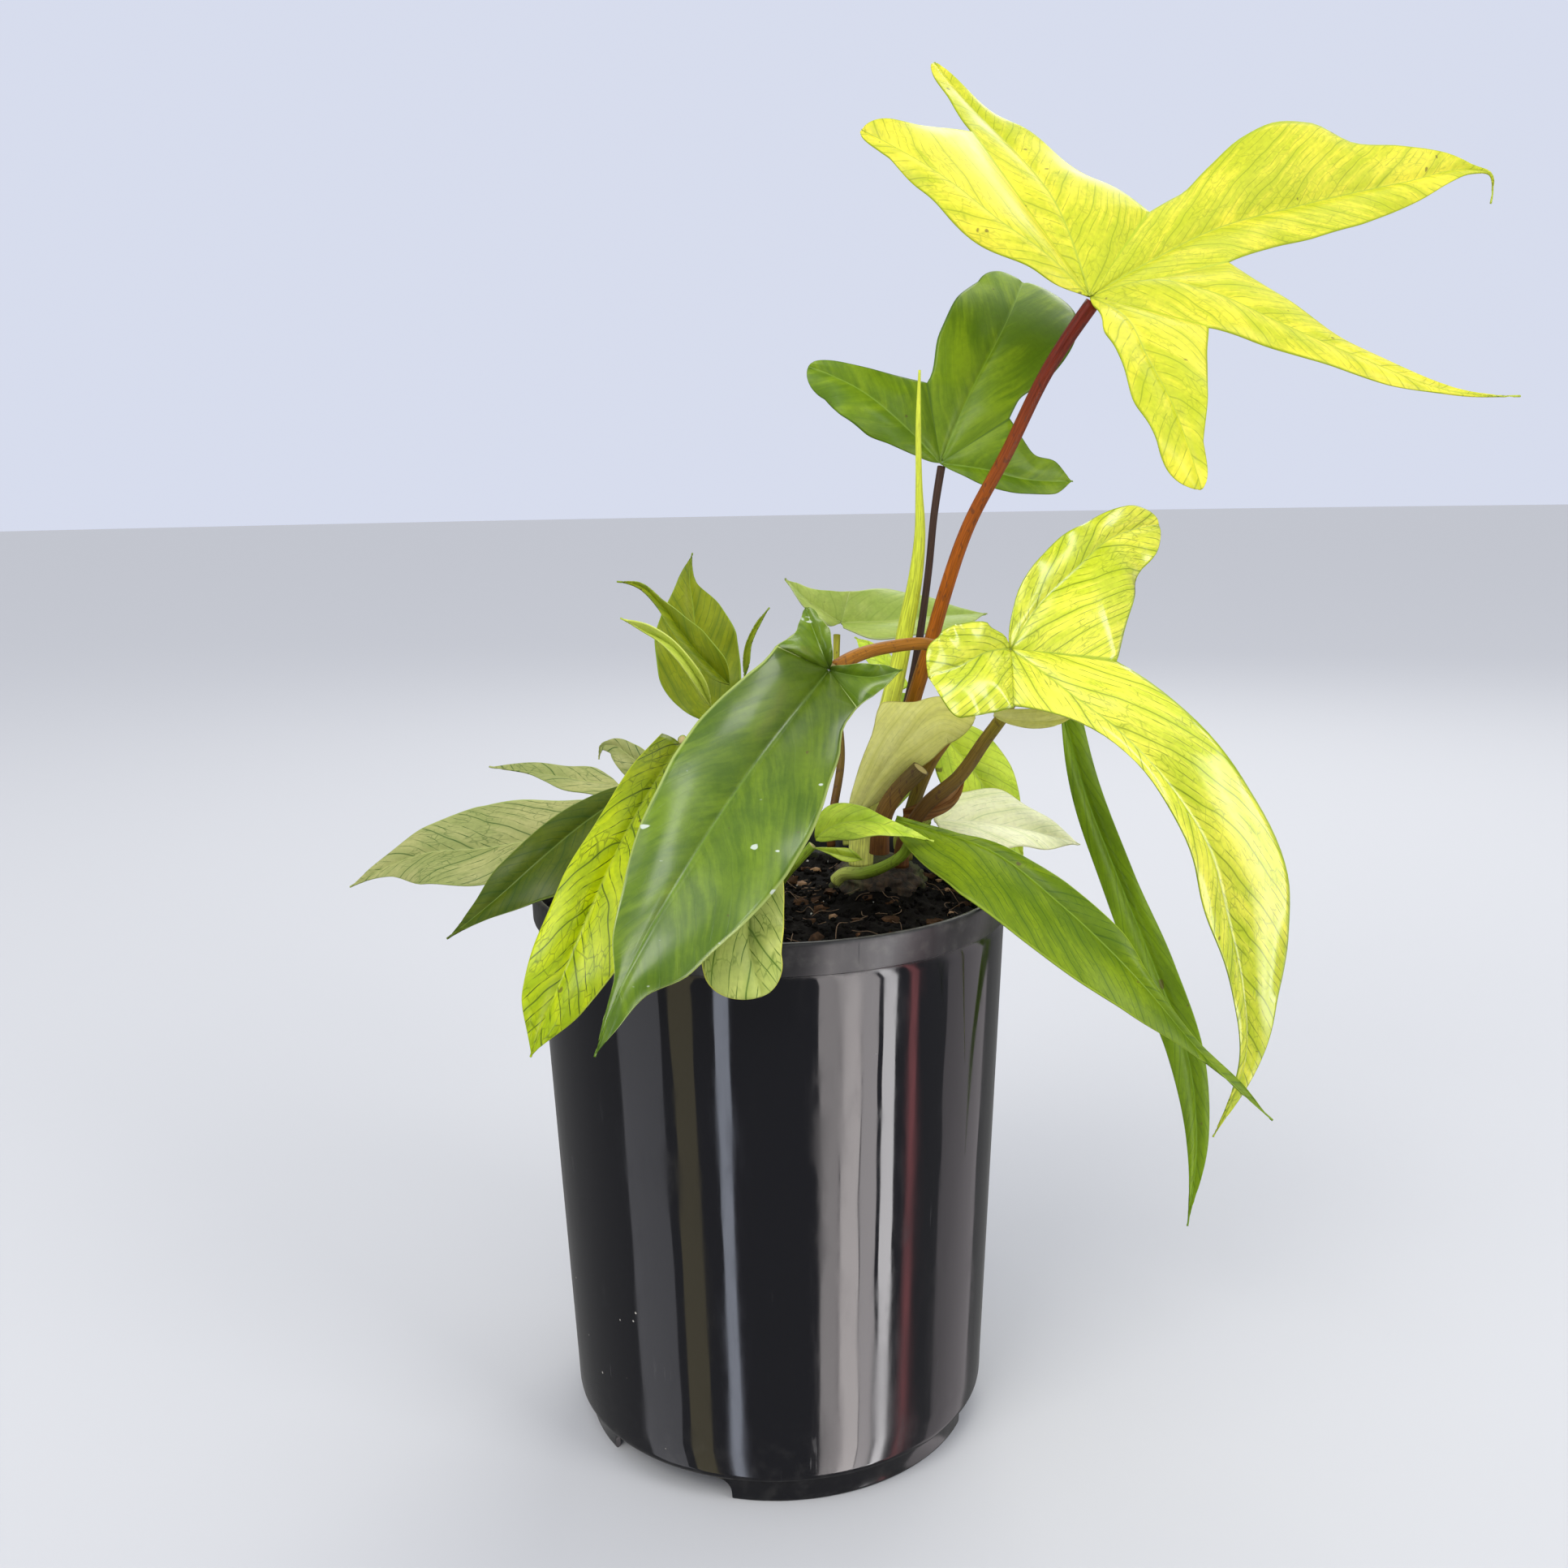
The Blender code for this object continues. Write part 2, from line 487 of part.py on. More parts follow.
def build_soil(material, collection):
    foot = FLOOR_TOP + GAP
    inner = WALL + GAP
    profile = [
        (0, SOIL_TOP), (30, SOIL_TOP), (58, SOIL_TOP - 0.4),
        (wall_radius(SOIL_TOP) - inner - 0.5, SOIL_TOP - 1.4),
        (wall_radius(SOIL_TOP - 2) - inner, SOIL_TOP - 2.4),
        (wall_radius(foot) - inner - 0.3, foot + 2.2),
        (wall_radius(foot) - inner - 2.4, foot), (PAD_RADIUS + 2, foot),
        (PAD_RADIUS - 2, PAD_TOP + GAP), (0, PAD_TOP + GAP),
    ]
    soil = turn("soil", profile)
    cut(soil, [crown_outline(name, GAP) for name in CROWNS])
    return finish(soil, "soil", material, collection)


def curve(points, shares):
    """Smooth curve through the points, read at the given shares of its chord length."""
    points = np.asarray(points, float)
    steps = np.diff(points, axis=0)
    knots = np.concatenate([[0.0], np.cumsum(np.linalg.norm(steps, axis=1))])
    knots /= knots[-1]
    spans = np.diff(knots)[:, None]
    slopes = steps / spans
    tangents = np.empty_like(points)
    tangents[1:-1] = (slopes[:-1] * spans[1:] + slopes[1:] * spans[:-1]) / (spans[1:] + spans[:-1])
    tangents[0] = 1.5 * slopes[0] - 0.5 * tangents[1]
    tangents[-1] = 1.5 * slopes[-1] - 0.5 * tangents[-2]
    index = np.clip(np.searchsorted(knots, shares, side="right") - 1, 0, len(spans) - 1)
    span = spans[index]
    s = (shares - knots[index])[:, None] / span
    return ((2 * s**3 - 3 * s**2 + 1) * points[index] + (s**3 - 2 * s**2 + s) * span * tangents[index]
            + (3 * s**2 - 2 * s**3) * points[index + 1] + (s**3 - s**2) * span * tangents[index + 1])


def half_widths(stations, shares, blunt=False):
    """Smooth half width read between equal steps, with no overshoot. A blunt tip is rounded off."""
    stations = np.asarray(stations, float)
    count = len(stations) - 1
    rises = np.diff(stations) * count
    slopes = np.zeros(count + 1)
    for i in range(1, count):
        if rises[i - 1] * rises[i] > 0:
            slopes[i] = 2 * rises[i - 1] * rises[i] / (rises[i - 1] + rises[i])
    slopes[0] = 1.6 * rises[0]
    slopes[-1] = 0.6 * rises[-1]
    index = np.clip((shares * count).astype(int), 0, count - 1)
    s = shares * count - index
    width = ((2 * s**3 - 3 * s**2 + 1) * stations[index] + (s**3 - 2 * s**2 + s) * slopes[index] / count
             + (3 * s**2 - 2 * s**3) * stations[index + 1] + (s**3 - s**2) * slopes[index + 1] / count)
    if blunt:
        width = np.where(index == count - 1, stations[-2] * np.sqrt(np.clip(1 - s**2, 0, 1)), width)
    return np.maximum(width, 0.0)


def unit(vectors):
    return vectors / np.maximum(np.linalg.norm(vectors, axis=-1, keepdims=True), 1e-9)


def row_shares(spec, rows):
    """Place the mesh rows so that a notch falls on the same row in both lobes beside it."""
    marks = {0: 0.0, rows: 1.0}
    for notch in (spec["left_notch"], spec["right_notch"]):
        if notch:
            marks[max(1, round(notch[2] * rows))] = notch[1]
    at = sorted(marks)
    return np.interp(np.arange(rows + 1), at, [marks[i] for i in at])


def lobe_surface(spec, rows, columns):
    """Points of one lobe, rows along the midrib and columns from its right edge to its left."""
    shares = row_shares(spec, rows)
    rib = curve(spec["rib"], shares)
    along = unit(np.gradient(rib, axis=0))
    face = np.asarray(spec["face"], float)
    normal = unit(face - (along @ face)[:, None] * along)
    side = np.cross(normal, along)
    folds = spec["fold"] if isinstance(spec["fold"], tuple) else (spec["fold"], spec["fold"])
    surface = np.zeros((rows + 1, 2 * columns + 1, 3))
    surface[:, columns] = rib
    sides = ((1, spec["left"], spec["left_notch"], folds[0]),
             (-1, spec["right"], spec["right_notch"], folds[1]))
    for sign, stations, notch, fold in sides:
        outward = sign * side * math.cos(fold) + normal * math.sin(fold)
        reach = half_widths(stations, shares, spec["blunt"])[:, None] * outward
        if notch:
            bottom = np.asarray(notch[0], float)
            row = max(1, round(notch[2] * rows))
            missing = bottom - rib[row] - reach[row]
            fade = np.clip(1 - (shares - shares[row]) / (1 - shares[row]), 0, 1) ** spec["ease"]
            reach = reach + missing * fade[:, None]
            for i in range(row + 1):
                reach[i] = rib[0] + (bottom - rib[0]) * i / row - rib[i]
        for step in range(1, columns + 1):
            share = step / columns
            cup = 0.08 * math.sin(math.pi * share) * np.linalg.norm(reach, axis=1, keepdims=True)
            surface[:, columns + sign * step] = rib + reach * share + cup * normal
    return surface


def build_blade(name, lobes, material, collection):
    rows, columns = (14, 2) if name in LONG_BLADES else (9, 2)
    pieces = []
    for spec in lobes:
        surface = lobe_surface(spec, rows, columns)
        bpy.ops.mesh.primitive_grid_add(x_subdivisions=rows, y_subdivisions=2 * columns, size=1)
        piece = bpy.context.active_object
        for vertex in piece.data.vertices:
            row = round((vertex.co.x + 0.5) * rows)
            column = round((vertex.co.y + 0.5) * 2 * columns)
            vertex.co = surface[row, column] * MM
        pieces.append(piece)
    select_only(*pieces)
    if len(pieces) > 1:
        bpy.ops.object.join()
    blade = pieces[0]
    tidy = bmesh.new()
    tidy.from_mesh(blade.data)
    bmesh.ops.remove_doubles(tidy, verts=tidy.verts, dist=0.12 * MM)
    tidy.to_mesh(blade.data)
    tidy.free()
    solidify = blade.modifiers.new("thickness", "SOLIDIFY")
    solidify.thickness = BLADE_THICKNESS * MM
    solidify.offset = 0
    apply_modifiers(blade)
    return finish(blade, name, material, collection)


def build_stalk(name, spec, material, collection, sides=2, steps=3):
    data = bpy.data.curves.new(name, "CURVE")
    data.dimensions = "3D"
    data.resolution_u = steps
    data.bevel_depth = 1.0
    data.bevel_resolution = sides
    data.use_fill_caps = True
    points = spec["points"]
    spline = data.splines.new("BEZIER")
    spline.bezier_points.add(len(points) - 1)
    for i, (knot, point) in enumerate(zip(spline.bezier_points, points)):
        share = i / (len(points) - 1)
        radius = spec["base_radius"] + (spec["tip_radius"] - spec["base_radius"]) * share
        knot.co = [value * MM for value in point]
        knot.radius = radius * MM
        knot.handle_left_type = "AUTO"
        knot.handle_right_type = "AUTO"
    ob = bpy.data.objects.new(name, data)
    bpy.context.scene.collection.objects.link(ob)
    mesh = bpy.data.meshes.new_from_object(ob.evaluated_get(bpy.context.evaluated_depsgraph_get()))
    bpy.data.objects.remove(ob, do_unlink=True)
    stalk = bpy.data.objects.new(name, mesh)
    bpy.context.scene.collection.objects.link(stalk)
    tidy = bmesh.new()
    tidy.from_mesh(mesh)
    bmesh.ops.remove_doubles(tidy, verts=tidy.verts, dist=0.01 * MM)
    bmesh.ops.recalc_face_normals(tidy, faces=tidy.faces)
    tidy.to_mesh(mesh)
    tidy.free()
    return finish(stalk, name, material, collection)


def build_spike(material, collection):
    """The rolled new leaf: a long cone whose centre line follows the spike."""
    rows = 18
    shares = np.arange(rows + 1) / rows
    centres = curve(SPIKE["points"], shares)
    radii = half_widths(SPIKE["radii"], shares)
    bpy.ops.mesh.primitive_cylinder_add(vertices=10, radius=1, depth=1, end_fill_type="NGON")
    spike = bpy.context.active_object
    rings = bmesh.new()
    rings.from_mesh(spike.data)
    walls = [edge for edge in rings.edges if abs(edge.verts[0].co.z - edge.verts[1].co.z) > 0.5]
    bmesh.ops.subdivide_edges(rings, edges=walls, cuts=rows - 1, use_grid_fill=True)
    for vertex in rings.verts:
        row = round((vertex.co.z + 0.5) * rows)
        radius = max(radii[row], 0.35)
        vertex.co.x = (centres[row, 0] + vertex.co.x * radius) * MM
        vertex.co.y = (centres[row, 1] + vertex.co.y * radius) * MM
        vertex.co.z = centres[row, 2] * MM
    rings.to_mesh(spike.data)
    rings.free()
    return finish(spike, "new_leaf_spike", material, collection)


def main():
    clear_scene()
    plant = new_collection("Potted_Philodendron")
    new_collection("Cutters")
    materials = {name: make_material(name) for name in MATERIALS}
    build_pot(materials["pot_plastic"], plant)
    build_soil(materials["potting_soil"], plant)
    for name in CROWNS:
        finish(crown_outline(name, 0.0), name, materials["crown_tissue"], plant)
    build_spike(materials["green_stalk"], plant)
    for name, spec in STEMS.items():
        kind = "brown_stalk" if name in BROWN_STALKS else "green_stalk"
        build_stalk(name, spec, materials[kind], plant)
    for name, lobes in LEAVES.items():
        build_blade(name, lobes, materials[BLADE_MATERIALS.get(name, "green_blade")], plant)


main()
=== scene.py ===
"""Builds a young philodendron with lobed leaves in a tall round nursery pot around its CAD part.

Lengths in the tables are millimetres. The pot stands on Z = 0 with its axis on Z, and -Y is the front.
"""
import math

import bmesh
import bpy
import numpy as np
from mathutils import Matrix, Vector, noise


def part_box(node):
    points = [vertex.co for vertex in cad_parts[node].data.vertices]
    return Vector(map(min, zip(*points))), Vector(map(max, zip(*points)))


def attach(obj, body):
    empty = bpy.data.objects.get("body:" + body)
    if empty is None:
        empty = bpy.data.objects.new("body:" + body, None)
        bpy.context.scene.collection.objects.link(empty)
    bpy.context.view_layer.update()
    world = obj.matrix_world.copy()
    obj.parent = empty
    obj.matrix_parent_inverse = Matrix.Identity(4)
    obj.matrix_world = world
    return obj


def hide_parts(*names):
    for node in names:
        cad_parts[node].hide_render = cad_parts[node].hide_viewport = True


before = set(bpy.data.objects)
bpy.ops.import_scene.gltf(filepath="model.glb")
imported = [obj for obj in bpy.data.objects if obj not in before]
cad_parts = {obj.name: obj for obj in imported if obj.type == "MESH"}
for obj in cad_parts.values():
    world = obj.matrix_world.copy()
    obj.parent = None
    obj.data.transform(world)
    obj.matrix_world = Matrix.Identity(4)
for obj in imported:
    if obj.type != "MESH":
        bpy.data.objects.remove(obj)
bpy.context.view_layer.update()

bl_info = {
    "name": "Potted Philodendron",
    "version": (1, 0, 0),
    "blender": (4, 5, 0),
    "location": "3D View > Sidebar > Plant",
    "description": "Builds a young philodendron with lobed leaves in a nursery pot",
    "category": "Add Mesh",
}

MM = 0.001
CM = 0.1  # centimetres in a millimetre, for the leaf maps

# Which way a blade's upper side looks.
OUT = (0.0, -1.0, 0.2)
UP_AND_OUT = (0.2, -1.0, 0.35)
SKYWARD = (0.1, -0.8, 0.7)
UPWARD = (0.0, -0.5, 1.0)


def lobe(rib, left, right, left_notch=None, right_notch=None, face=OUT, fold=0.12, ease=2,
         blunt=False):
    """One lobe: its midrib, its half widths at equal steps along it and the notches beside it.

    A notch is its bottom point, how far along the midrib it lies and its share of the mesh rows.
    """
    return {"rib": rib, "left": left, "right": right, "left_notch": left_notch,
            "right_notch": right_notch, "face": face, "fold": fold, "ease": ease, "blunt": blunt}


def stem(points, base_radius, tip_radius):
    """A stalk: its centre line from the crown up and its radius at both ends."""
    return {"points": points, "base_radius": base_radius, "tip_radius": tip_radius}


LEAVES = {
    "top_leaf": [
        lobe([(90, -5, 327), (78, -6, 338), (65, -6, 347), (52, -2, 358), (29, 10, 374)],
             left=(0, 6.5, 9, 10.5, 8, 4.5, 0), right=(8, 8, 8, 8, 8, 8, 0),
             right_notch=((63, 38, 379), 0.72, 0.65), face=UP_AND_OUT, blunt=True),
        lobe([(90, -5, 327), (84, 18, 356), (76, 40, 374), (67, 58, 389), (56, 78, 409)],
             left=(5, 5, 5, 5, 5, 5, 0), right=(0, 0, 0, 1, 2, 2, 0),
             left_notch=((63, 38, 379), 0.68, 0.65), right_notch=((112, 22, 353), 0.25, 0.25),
             face=UP_AND_OUT, blunt=True),
        lobe([(90, -5, 327), (110, 10, 338), (128, 22, 347), (163, 42, 358), (200, 58, 367),
             (223, 67, 372), (232, 71, 371), (231, 68, 362)],
             left=(15, 15, 15, 15, 19, 24, 26, 24, 15, 11, 6, 1, 0),
             right=(10, 10, 10, 10, 10, 10, 11, 11, 9.5, 7, 4, 1, 0),
             left_notch=((112, 22, 353), 0.17, 0.25), right_notch=((131, 8, 337), 0.29, 0.35),
             face=UP_AND_OUT),
        lobe([(90, -5, 327), (108, -5, 331), (123, -8, 327), (140, -10, 319), (161, -10, 310),
             (192, -5, 300), (212, 0, 299)],
             left=(0, 0, 0, 0, 0, 0.5, 0), right=(1.5, 1.5, 1.5, 3, 2.5, 0.5, 0),
             left_notch=((131, 8, 337), 0.29, 0.35), right_notch=((119, -18, 317), 0.27, 0.3),
             face=UP_AND_OUT),
        lobe([(90, -5, 327), (97, -18, 320), (100, -32, 308), (104, -44, 295), (108, -56, 275)],
             left=(9, 9, 9, 9, 6.5, 3.5, 0), right=(0, 6, 9, 9, 10, 9, 0),
             left_notch=((119, -18, 317), 0.35, 0.3), face=UP_AND_OUT, blunt=True),
    ],
    "green_lobed_leaf": [
        lobe([(54, 38, 284), (44, 34, 294), (29, 32, 306), (14, 34, 313)],
             left=(0, 4.5, 7.5, 10, 10, 7.5, 0), right=(4, 4, 4, 4, 4, 4, 0),
             right_notch=((50, 40, 308), 0.5, 0.4), blunt=True),
        lobe([(54, 38, 284), (63, 42, 304), (75, 52, 325), (84, 72, 341)],
             left=(8, 8, 8, 14, 16, 13, 0), right=(15, 15, 15, 20, 22, 20, 0),
             left_notch=((50, 40, 308), 0.33, 0.4), right_notch=((75, 38, 297), 0.25, 0.3), blunt=True),
        lobe([(54, 38, 284), (67, 36, 282), (79, 38, 279), (96, 44, 278)],
             left=(2, 2, 2, 2, 2, 4.5, 0), right=(0, 3, 5, 5, 4.5, 4, 0),
             left_notch=((75, 38, 297), 0.5, 0.3)),
    ],
    "right_yellow_leaf": [
        lobe([(67, -22, 233), (75, -18, 244), (87, -10, 254), (99, 0, 262), (114, 8, 265)],
             left=(0.5, 6, 9, 9.5, 7.5, 7, 0), right=(10.5, 10.5, 10.5, 10.5, 10.5, 9.5, 0),
             right_notch=((96, -22, 229), 0.5, 0.2), blunt=True),
        lobe([(67, -22, 233), (80, -30, 223), (94, -36, 212), (107, -38, 198), (119, -36, 180),
             (127, -30, 158), (134, -24, 135), (138, -16, 110), (132, -8, 83)],
             left=(17, 17, 17, 17, 18, 15, 8, 3, 0), right=(0, 0, 1.5, 5.5, 8, 5.5, 3.5, 2, 0),
             left_notch=((96, -22, 229), 0.15, 0.2), right_notch=((66, -34, 219), 0.06, 0.1),
             fold=(0.1, 0.5), ease=9),
        lobe([(67, -22, 233), (59, -30, 233), (51, -36, 230), (43, -40, 228)],
             left=(13, 13, 13, 15, 14, 13, 0), right=(0, 5, 8, 10, 10.5, 9, 0),
             left_notch=((66, -34, 219), 0.3, 0.1), blunt=True),
    ],
    "folded_lobe": [
        lobe([(63, -18, 214), (70, -21, 213), (77, -23, 213), (85, -22, 214)],
             left=(1.5, 3, 3.5, 2.5, 0), right=(0, 1.5, 2, 1.5, 0)),
    ],
    "strap_leaf": [
        lobe([(91, 30, 209), (98, 28, 184), (109, 24, 155), (120, 18, 127), (128, 8, 103), (130, 2, 79),
             (127, -2, 51)],
             left=(5.5, 5, 5, 6, 5, 3.5, 0), right=(0, 4.5, 6, 7, 6.5, 3.5, 0)),
    ],
    "right_front_leaf": [
        lobe([(36, -14, 184), (48, -18, 181), (60, -24, 178), (79, -38, 165), (98, -48, 147),
             (114, -52, 128), (136, -48, 106)],
             left=(1.5, 1.5, 3.5, 6, 6, 2.5, 1.5, 2, 0), right=(3, 14, 19, 17, 15, 10, 3, 0, 0),
             face=SKYWARD),
    ],
    "small_pale_leaf": [
        lobe([(13, -18, 180), (20, -22, 185), (30, -26, 186), (38, -26, 183), (46, -24, 180)],
             left=(0.5, 6.5, 4.5, 2, 1.5, 0), right=(1, 5, 6.5, 4, 1, 0),
             face=SKYWARD),
    ],
    "front_leaf": [
        lobe([(17, -30, 229), (23, -34, 228), (29, -38, 228), (36, -40, 230)],
             left=(1, 2.5, 3.5, 3, 0), right=(2, 2, 2, 2, 0),
             right_notch=((24, -40, 220), 0.5, 0.15)),
        lobe([(17, -30, 229), (10, -40, 222), (-1, -52, 210), (-12, -68, 197), (-21, -82, 185),
             (-29, -91, 173), (-35, -96, 162), (-38, -98, 155), (-41, -98, 147)],
             left=(13, 13, 13, 17, 19, 21, 22, 22, 21, 19, 16, 13, 6, 3, 0),
             right=(12, 12, 12, 14, 16, 17, 17, 16, 15, 13, 10, 7, 2, 1, 0),
             left_notch=((24, -40, 220), 0.1, 0.15), right_notch=((3, -42, 237), 0.12, 0.2)),
        lobe([(17, -30, 229), (15, -34, 235), (13, -34, 240), (11, -32, 246)],
             left=(0, 0, 0, 0, 1.5, 0), right=(0, 2, 3, 4, 2.5, 0),
             left_notch=((3, -42, 237), 0.45, 0.2), blunt=True),
    ],
    "back_pale_leaf": [
        lobe([(24, 60, 234), (14, 58, 241), (6, 56, 249)],
             left=(0, 8, 6, 4.5, 0), right=(1.5, 1.5, 1.5, 2, 0),
             right_notch=((27, 62, 244), 0.3, 0.15), face=UPWARD),
        lobe([(24, 60, 234), (36, 62, 234), (55, 68, 235), (74, 76, 235)],
             left=(16, 16, 17, 12, 4, 0), right=(4, 13, 14, 13, 8, 0),
             left_notch=((27, 62, 244), 0.1, 0.15), face=UPWARD),
    ],
    "back_left_leaf": [
        lobe([(-15, 30, 206), (-20, 34, 216), (-22, 38, 228), (-23, 40, 241), (-24, 42, 251),
             (-23, 44, 258)],
             left=(0, 9, 13, 13, 10, 4, 0), right=(3, 12, 13, 13, 9, 2, 0)),
    ],
    "diagonal_leaf": [
        lobe([(-11, 5, 221), (-21, 4, 232), (-30, 8, 244), (-37, 12, 250), (-44, 16, 251)],
             left=(0, 3, 2.5, 2.5, 1.5, 1, 0), right=(0, 5.5, 6, 3.5, 1.5, 1, 0),
             fold=0.5),
    ],
    "furled_leaf": [
        lobe([(-16, -6, 216), (-20, -10, 226), (-26, -10, 234), (-35, -8, 239), (-41, -6, 242)],
             left=(0, 2.5, 3, 1, 0), right=(0, 2.5, 2, 3, 0),
             fold=0.9),
    ],
    "thin_tip_leaf": [
        lobe([(-7, 22, 221), (-6, 22, 231), (-3, 22, 237), (1, 24, 242)],
             left=(0, 0.5, 0.5, 0.5, 0), right=(0, 2, 1.5, 1, 0),
             fold=0.6),
    ],
    "left_long_leaf": [
        lobe([(-49, 18, 178), (-68, 22, 173), (-89, 28, 168), (-111, 34, 165), (-126, 38, 159),
             (-137, 40, 153)],
             left=(0, 7, 12, 14, 12, 4, 0), right=(6, 11, 14, 15, 9, 4, 0),
             face=SKYWARD),
    ],
    "left_edge_leaf": [
        lobe([(-48, 40, 185), (-60, 44, 186), (-74, 52, 187), (-94, 62, 188)],
             left=(8.5, 7.5, 4.5, 0.5, 0), right=(0, 6, 5, 3.5, 0),
             face=UPWARD),
    ],
    "left_hooked_leaf": [
        lobe([(-39, 50, 187), (-46, 54, 192), (-52, 58, 195), (-56, 60, 194), (-57, 60, 190)],
             left=(4, 6, 4.5, 2, 0), right=(0, 4.5, 3.5, 1.5, 0)),
    ],
    "left_dark_leaf": [
        lobe([(-37, 0, 193), (-52, -12, 185), (-64, -27, 177), (-76, -31, 167), (-90, -30, 156)],
             left=(0, 11, 14, 15, 9, 3, 0), right=(0, 5, 6.5, 7, 6.5, 3, 0),
             face=SKYWARD),
    ],
    "left_yellow_leaf": [
        lobe([(-24, -20, 208), (-33, -40, 196), (-40, -58, 184), (-47, -72, 169), (-54, -80, 153),
             (-59, -82, 141)],
             left=(3, 12, 15, 16, 16, 13, 8, 0), right=(6, 7.5, 8, 8.5, 9.5, 9.5, 7.5, 0),
             face=SKYWARD),
    ],
    "rim_pale_leaf": [
        lobe([(-1, -46, 185), (-4, -64, 177), (-5, -77, 168), (-2, -83, 156)],
             left=(2, 5, 7.5, 8.5, 9, 7.5, 0), right=(0, 5, 8, 10, 12, 12, 0),
             blunt=True),
    ],
    "right_back_leaf": [
        lobe([(56, 50, 198), (66, 56, 186), (75, 62, 172), (86, 64, 151)],
             left=(6, 11, 11.5, 9, 4.5, 0), right=(4, 11, 13, 12, 8, 0)),
    ],
    "right_white_leaf": [
        lobe([(52, 34, 173), (66, 36, 172), (82, 36, 169), (99, 36, 164)],
             left=(5, 13, 15, 12, 6, 0), right=(8, 15, 15, 11, 7, 0),
             face=UPWARD),
    ],
    "back_small_leaf": [
        lobe([(42, 40, 214), (38, 44, 222), (33, 48, 227), (28, 52, 230)],
             left=(0, 4, 4.5, 3.5, 0), right=(3, 2.5, 2.5, 1.5, 0)),
    ],
    "spike_sheath": [
        lobe([(26, 0, 184), (33, -2, 196), (41, -3, 206), (50, -3, 213), (60, -2, 211)],
             left=(3, 5, 7, 9, 13, 6, 4, 0), right=(0, 5, 6.5, 8.5, 9.5, 9.5, 9.5, 0),
             fold=-0.25, blunt=True),
    ],
    "torn_sheath": [
        lobe([(40, 8, 181), (47, 8, 182), (54, 8, 185), (59, 10, 192)],
             left=(1.5, 2.5, 3, 3.5, 0), right=(2, 3, 2.5, 1.5, 0)),
    ],
    "low_sheath": [
        lobe([(27, -8, 171), (20, -10, 173), (12, -12, 176)],
             left=(0, 1.5, 0.5, 0), right=(0, 2.5, 1.5, 0)),
    ],
}

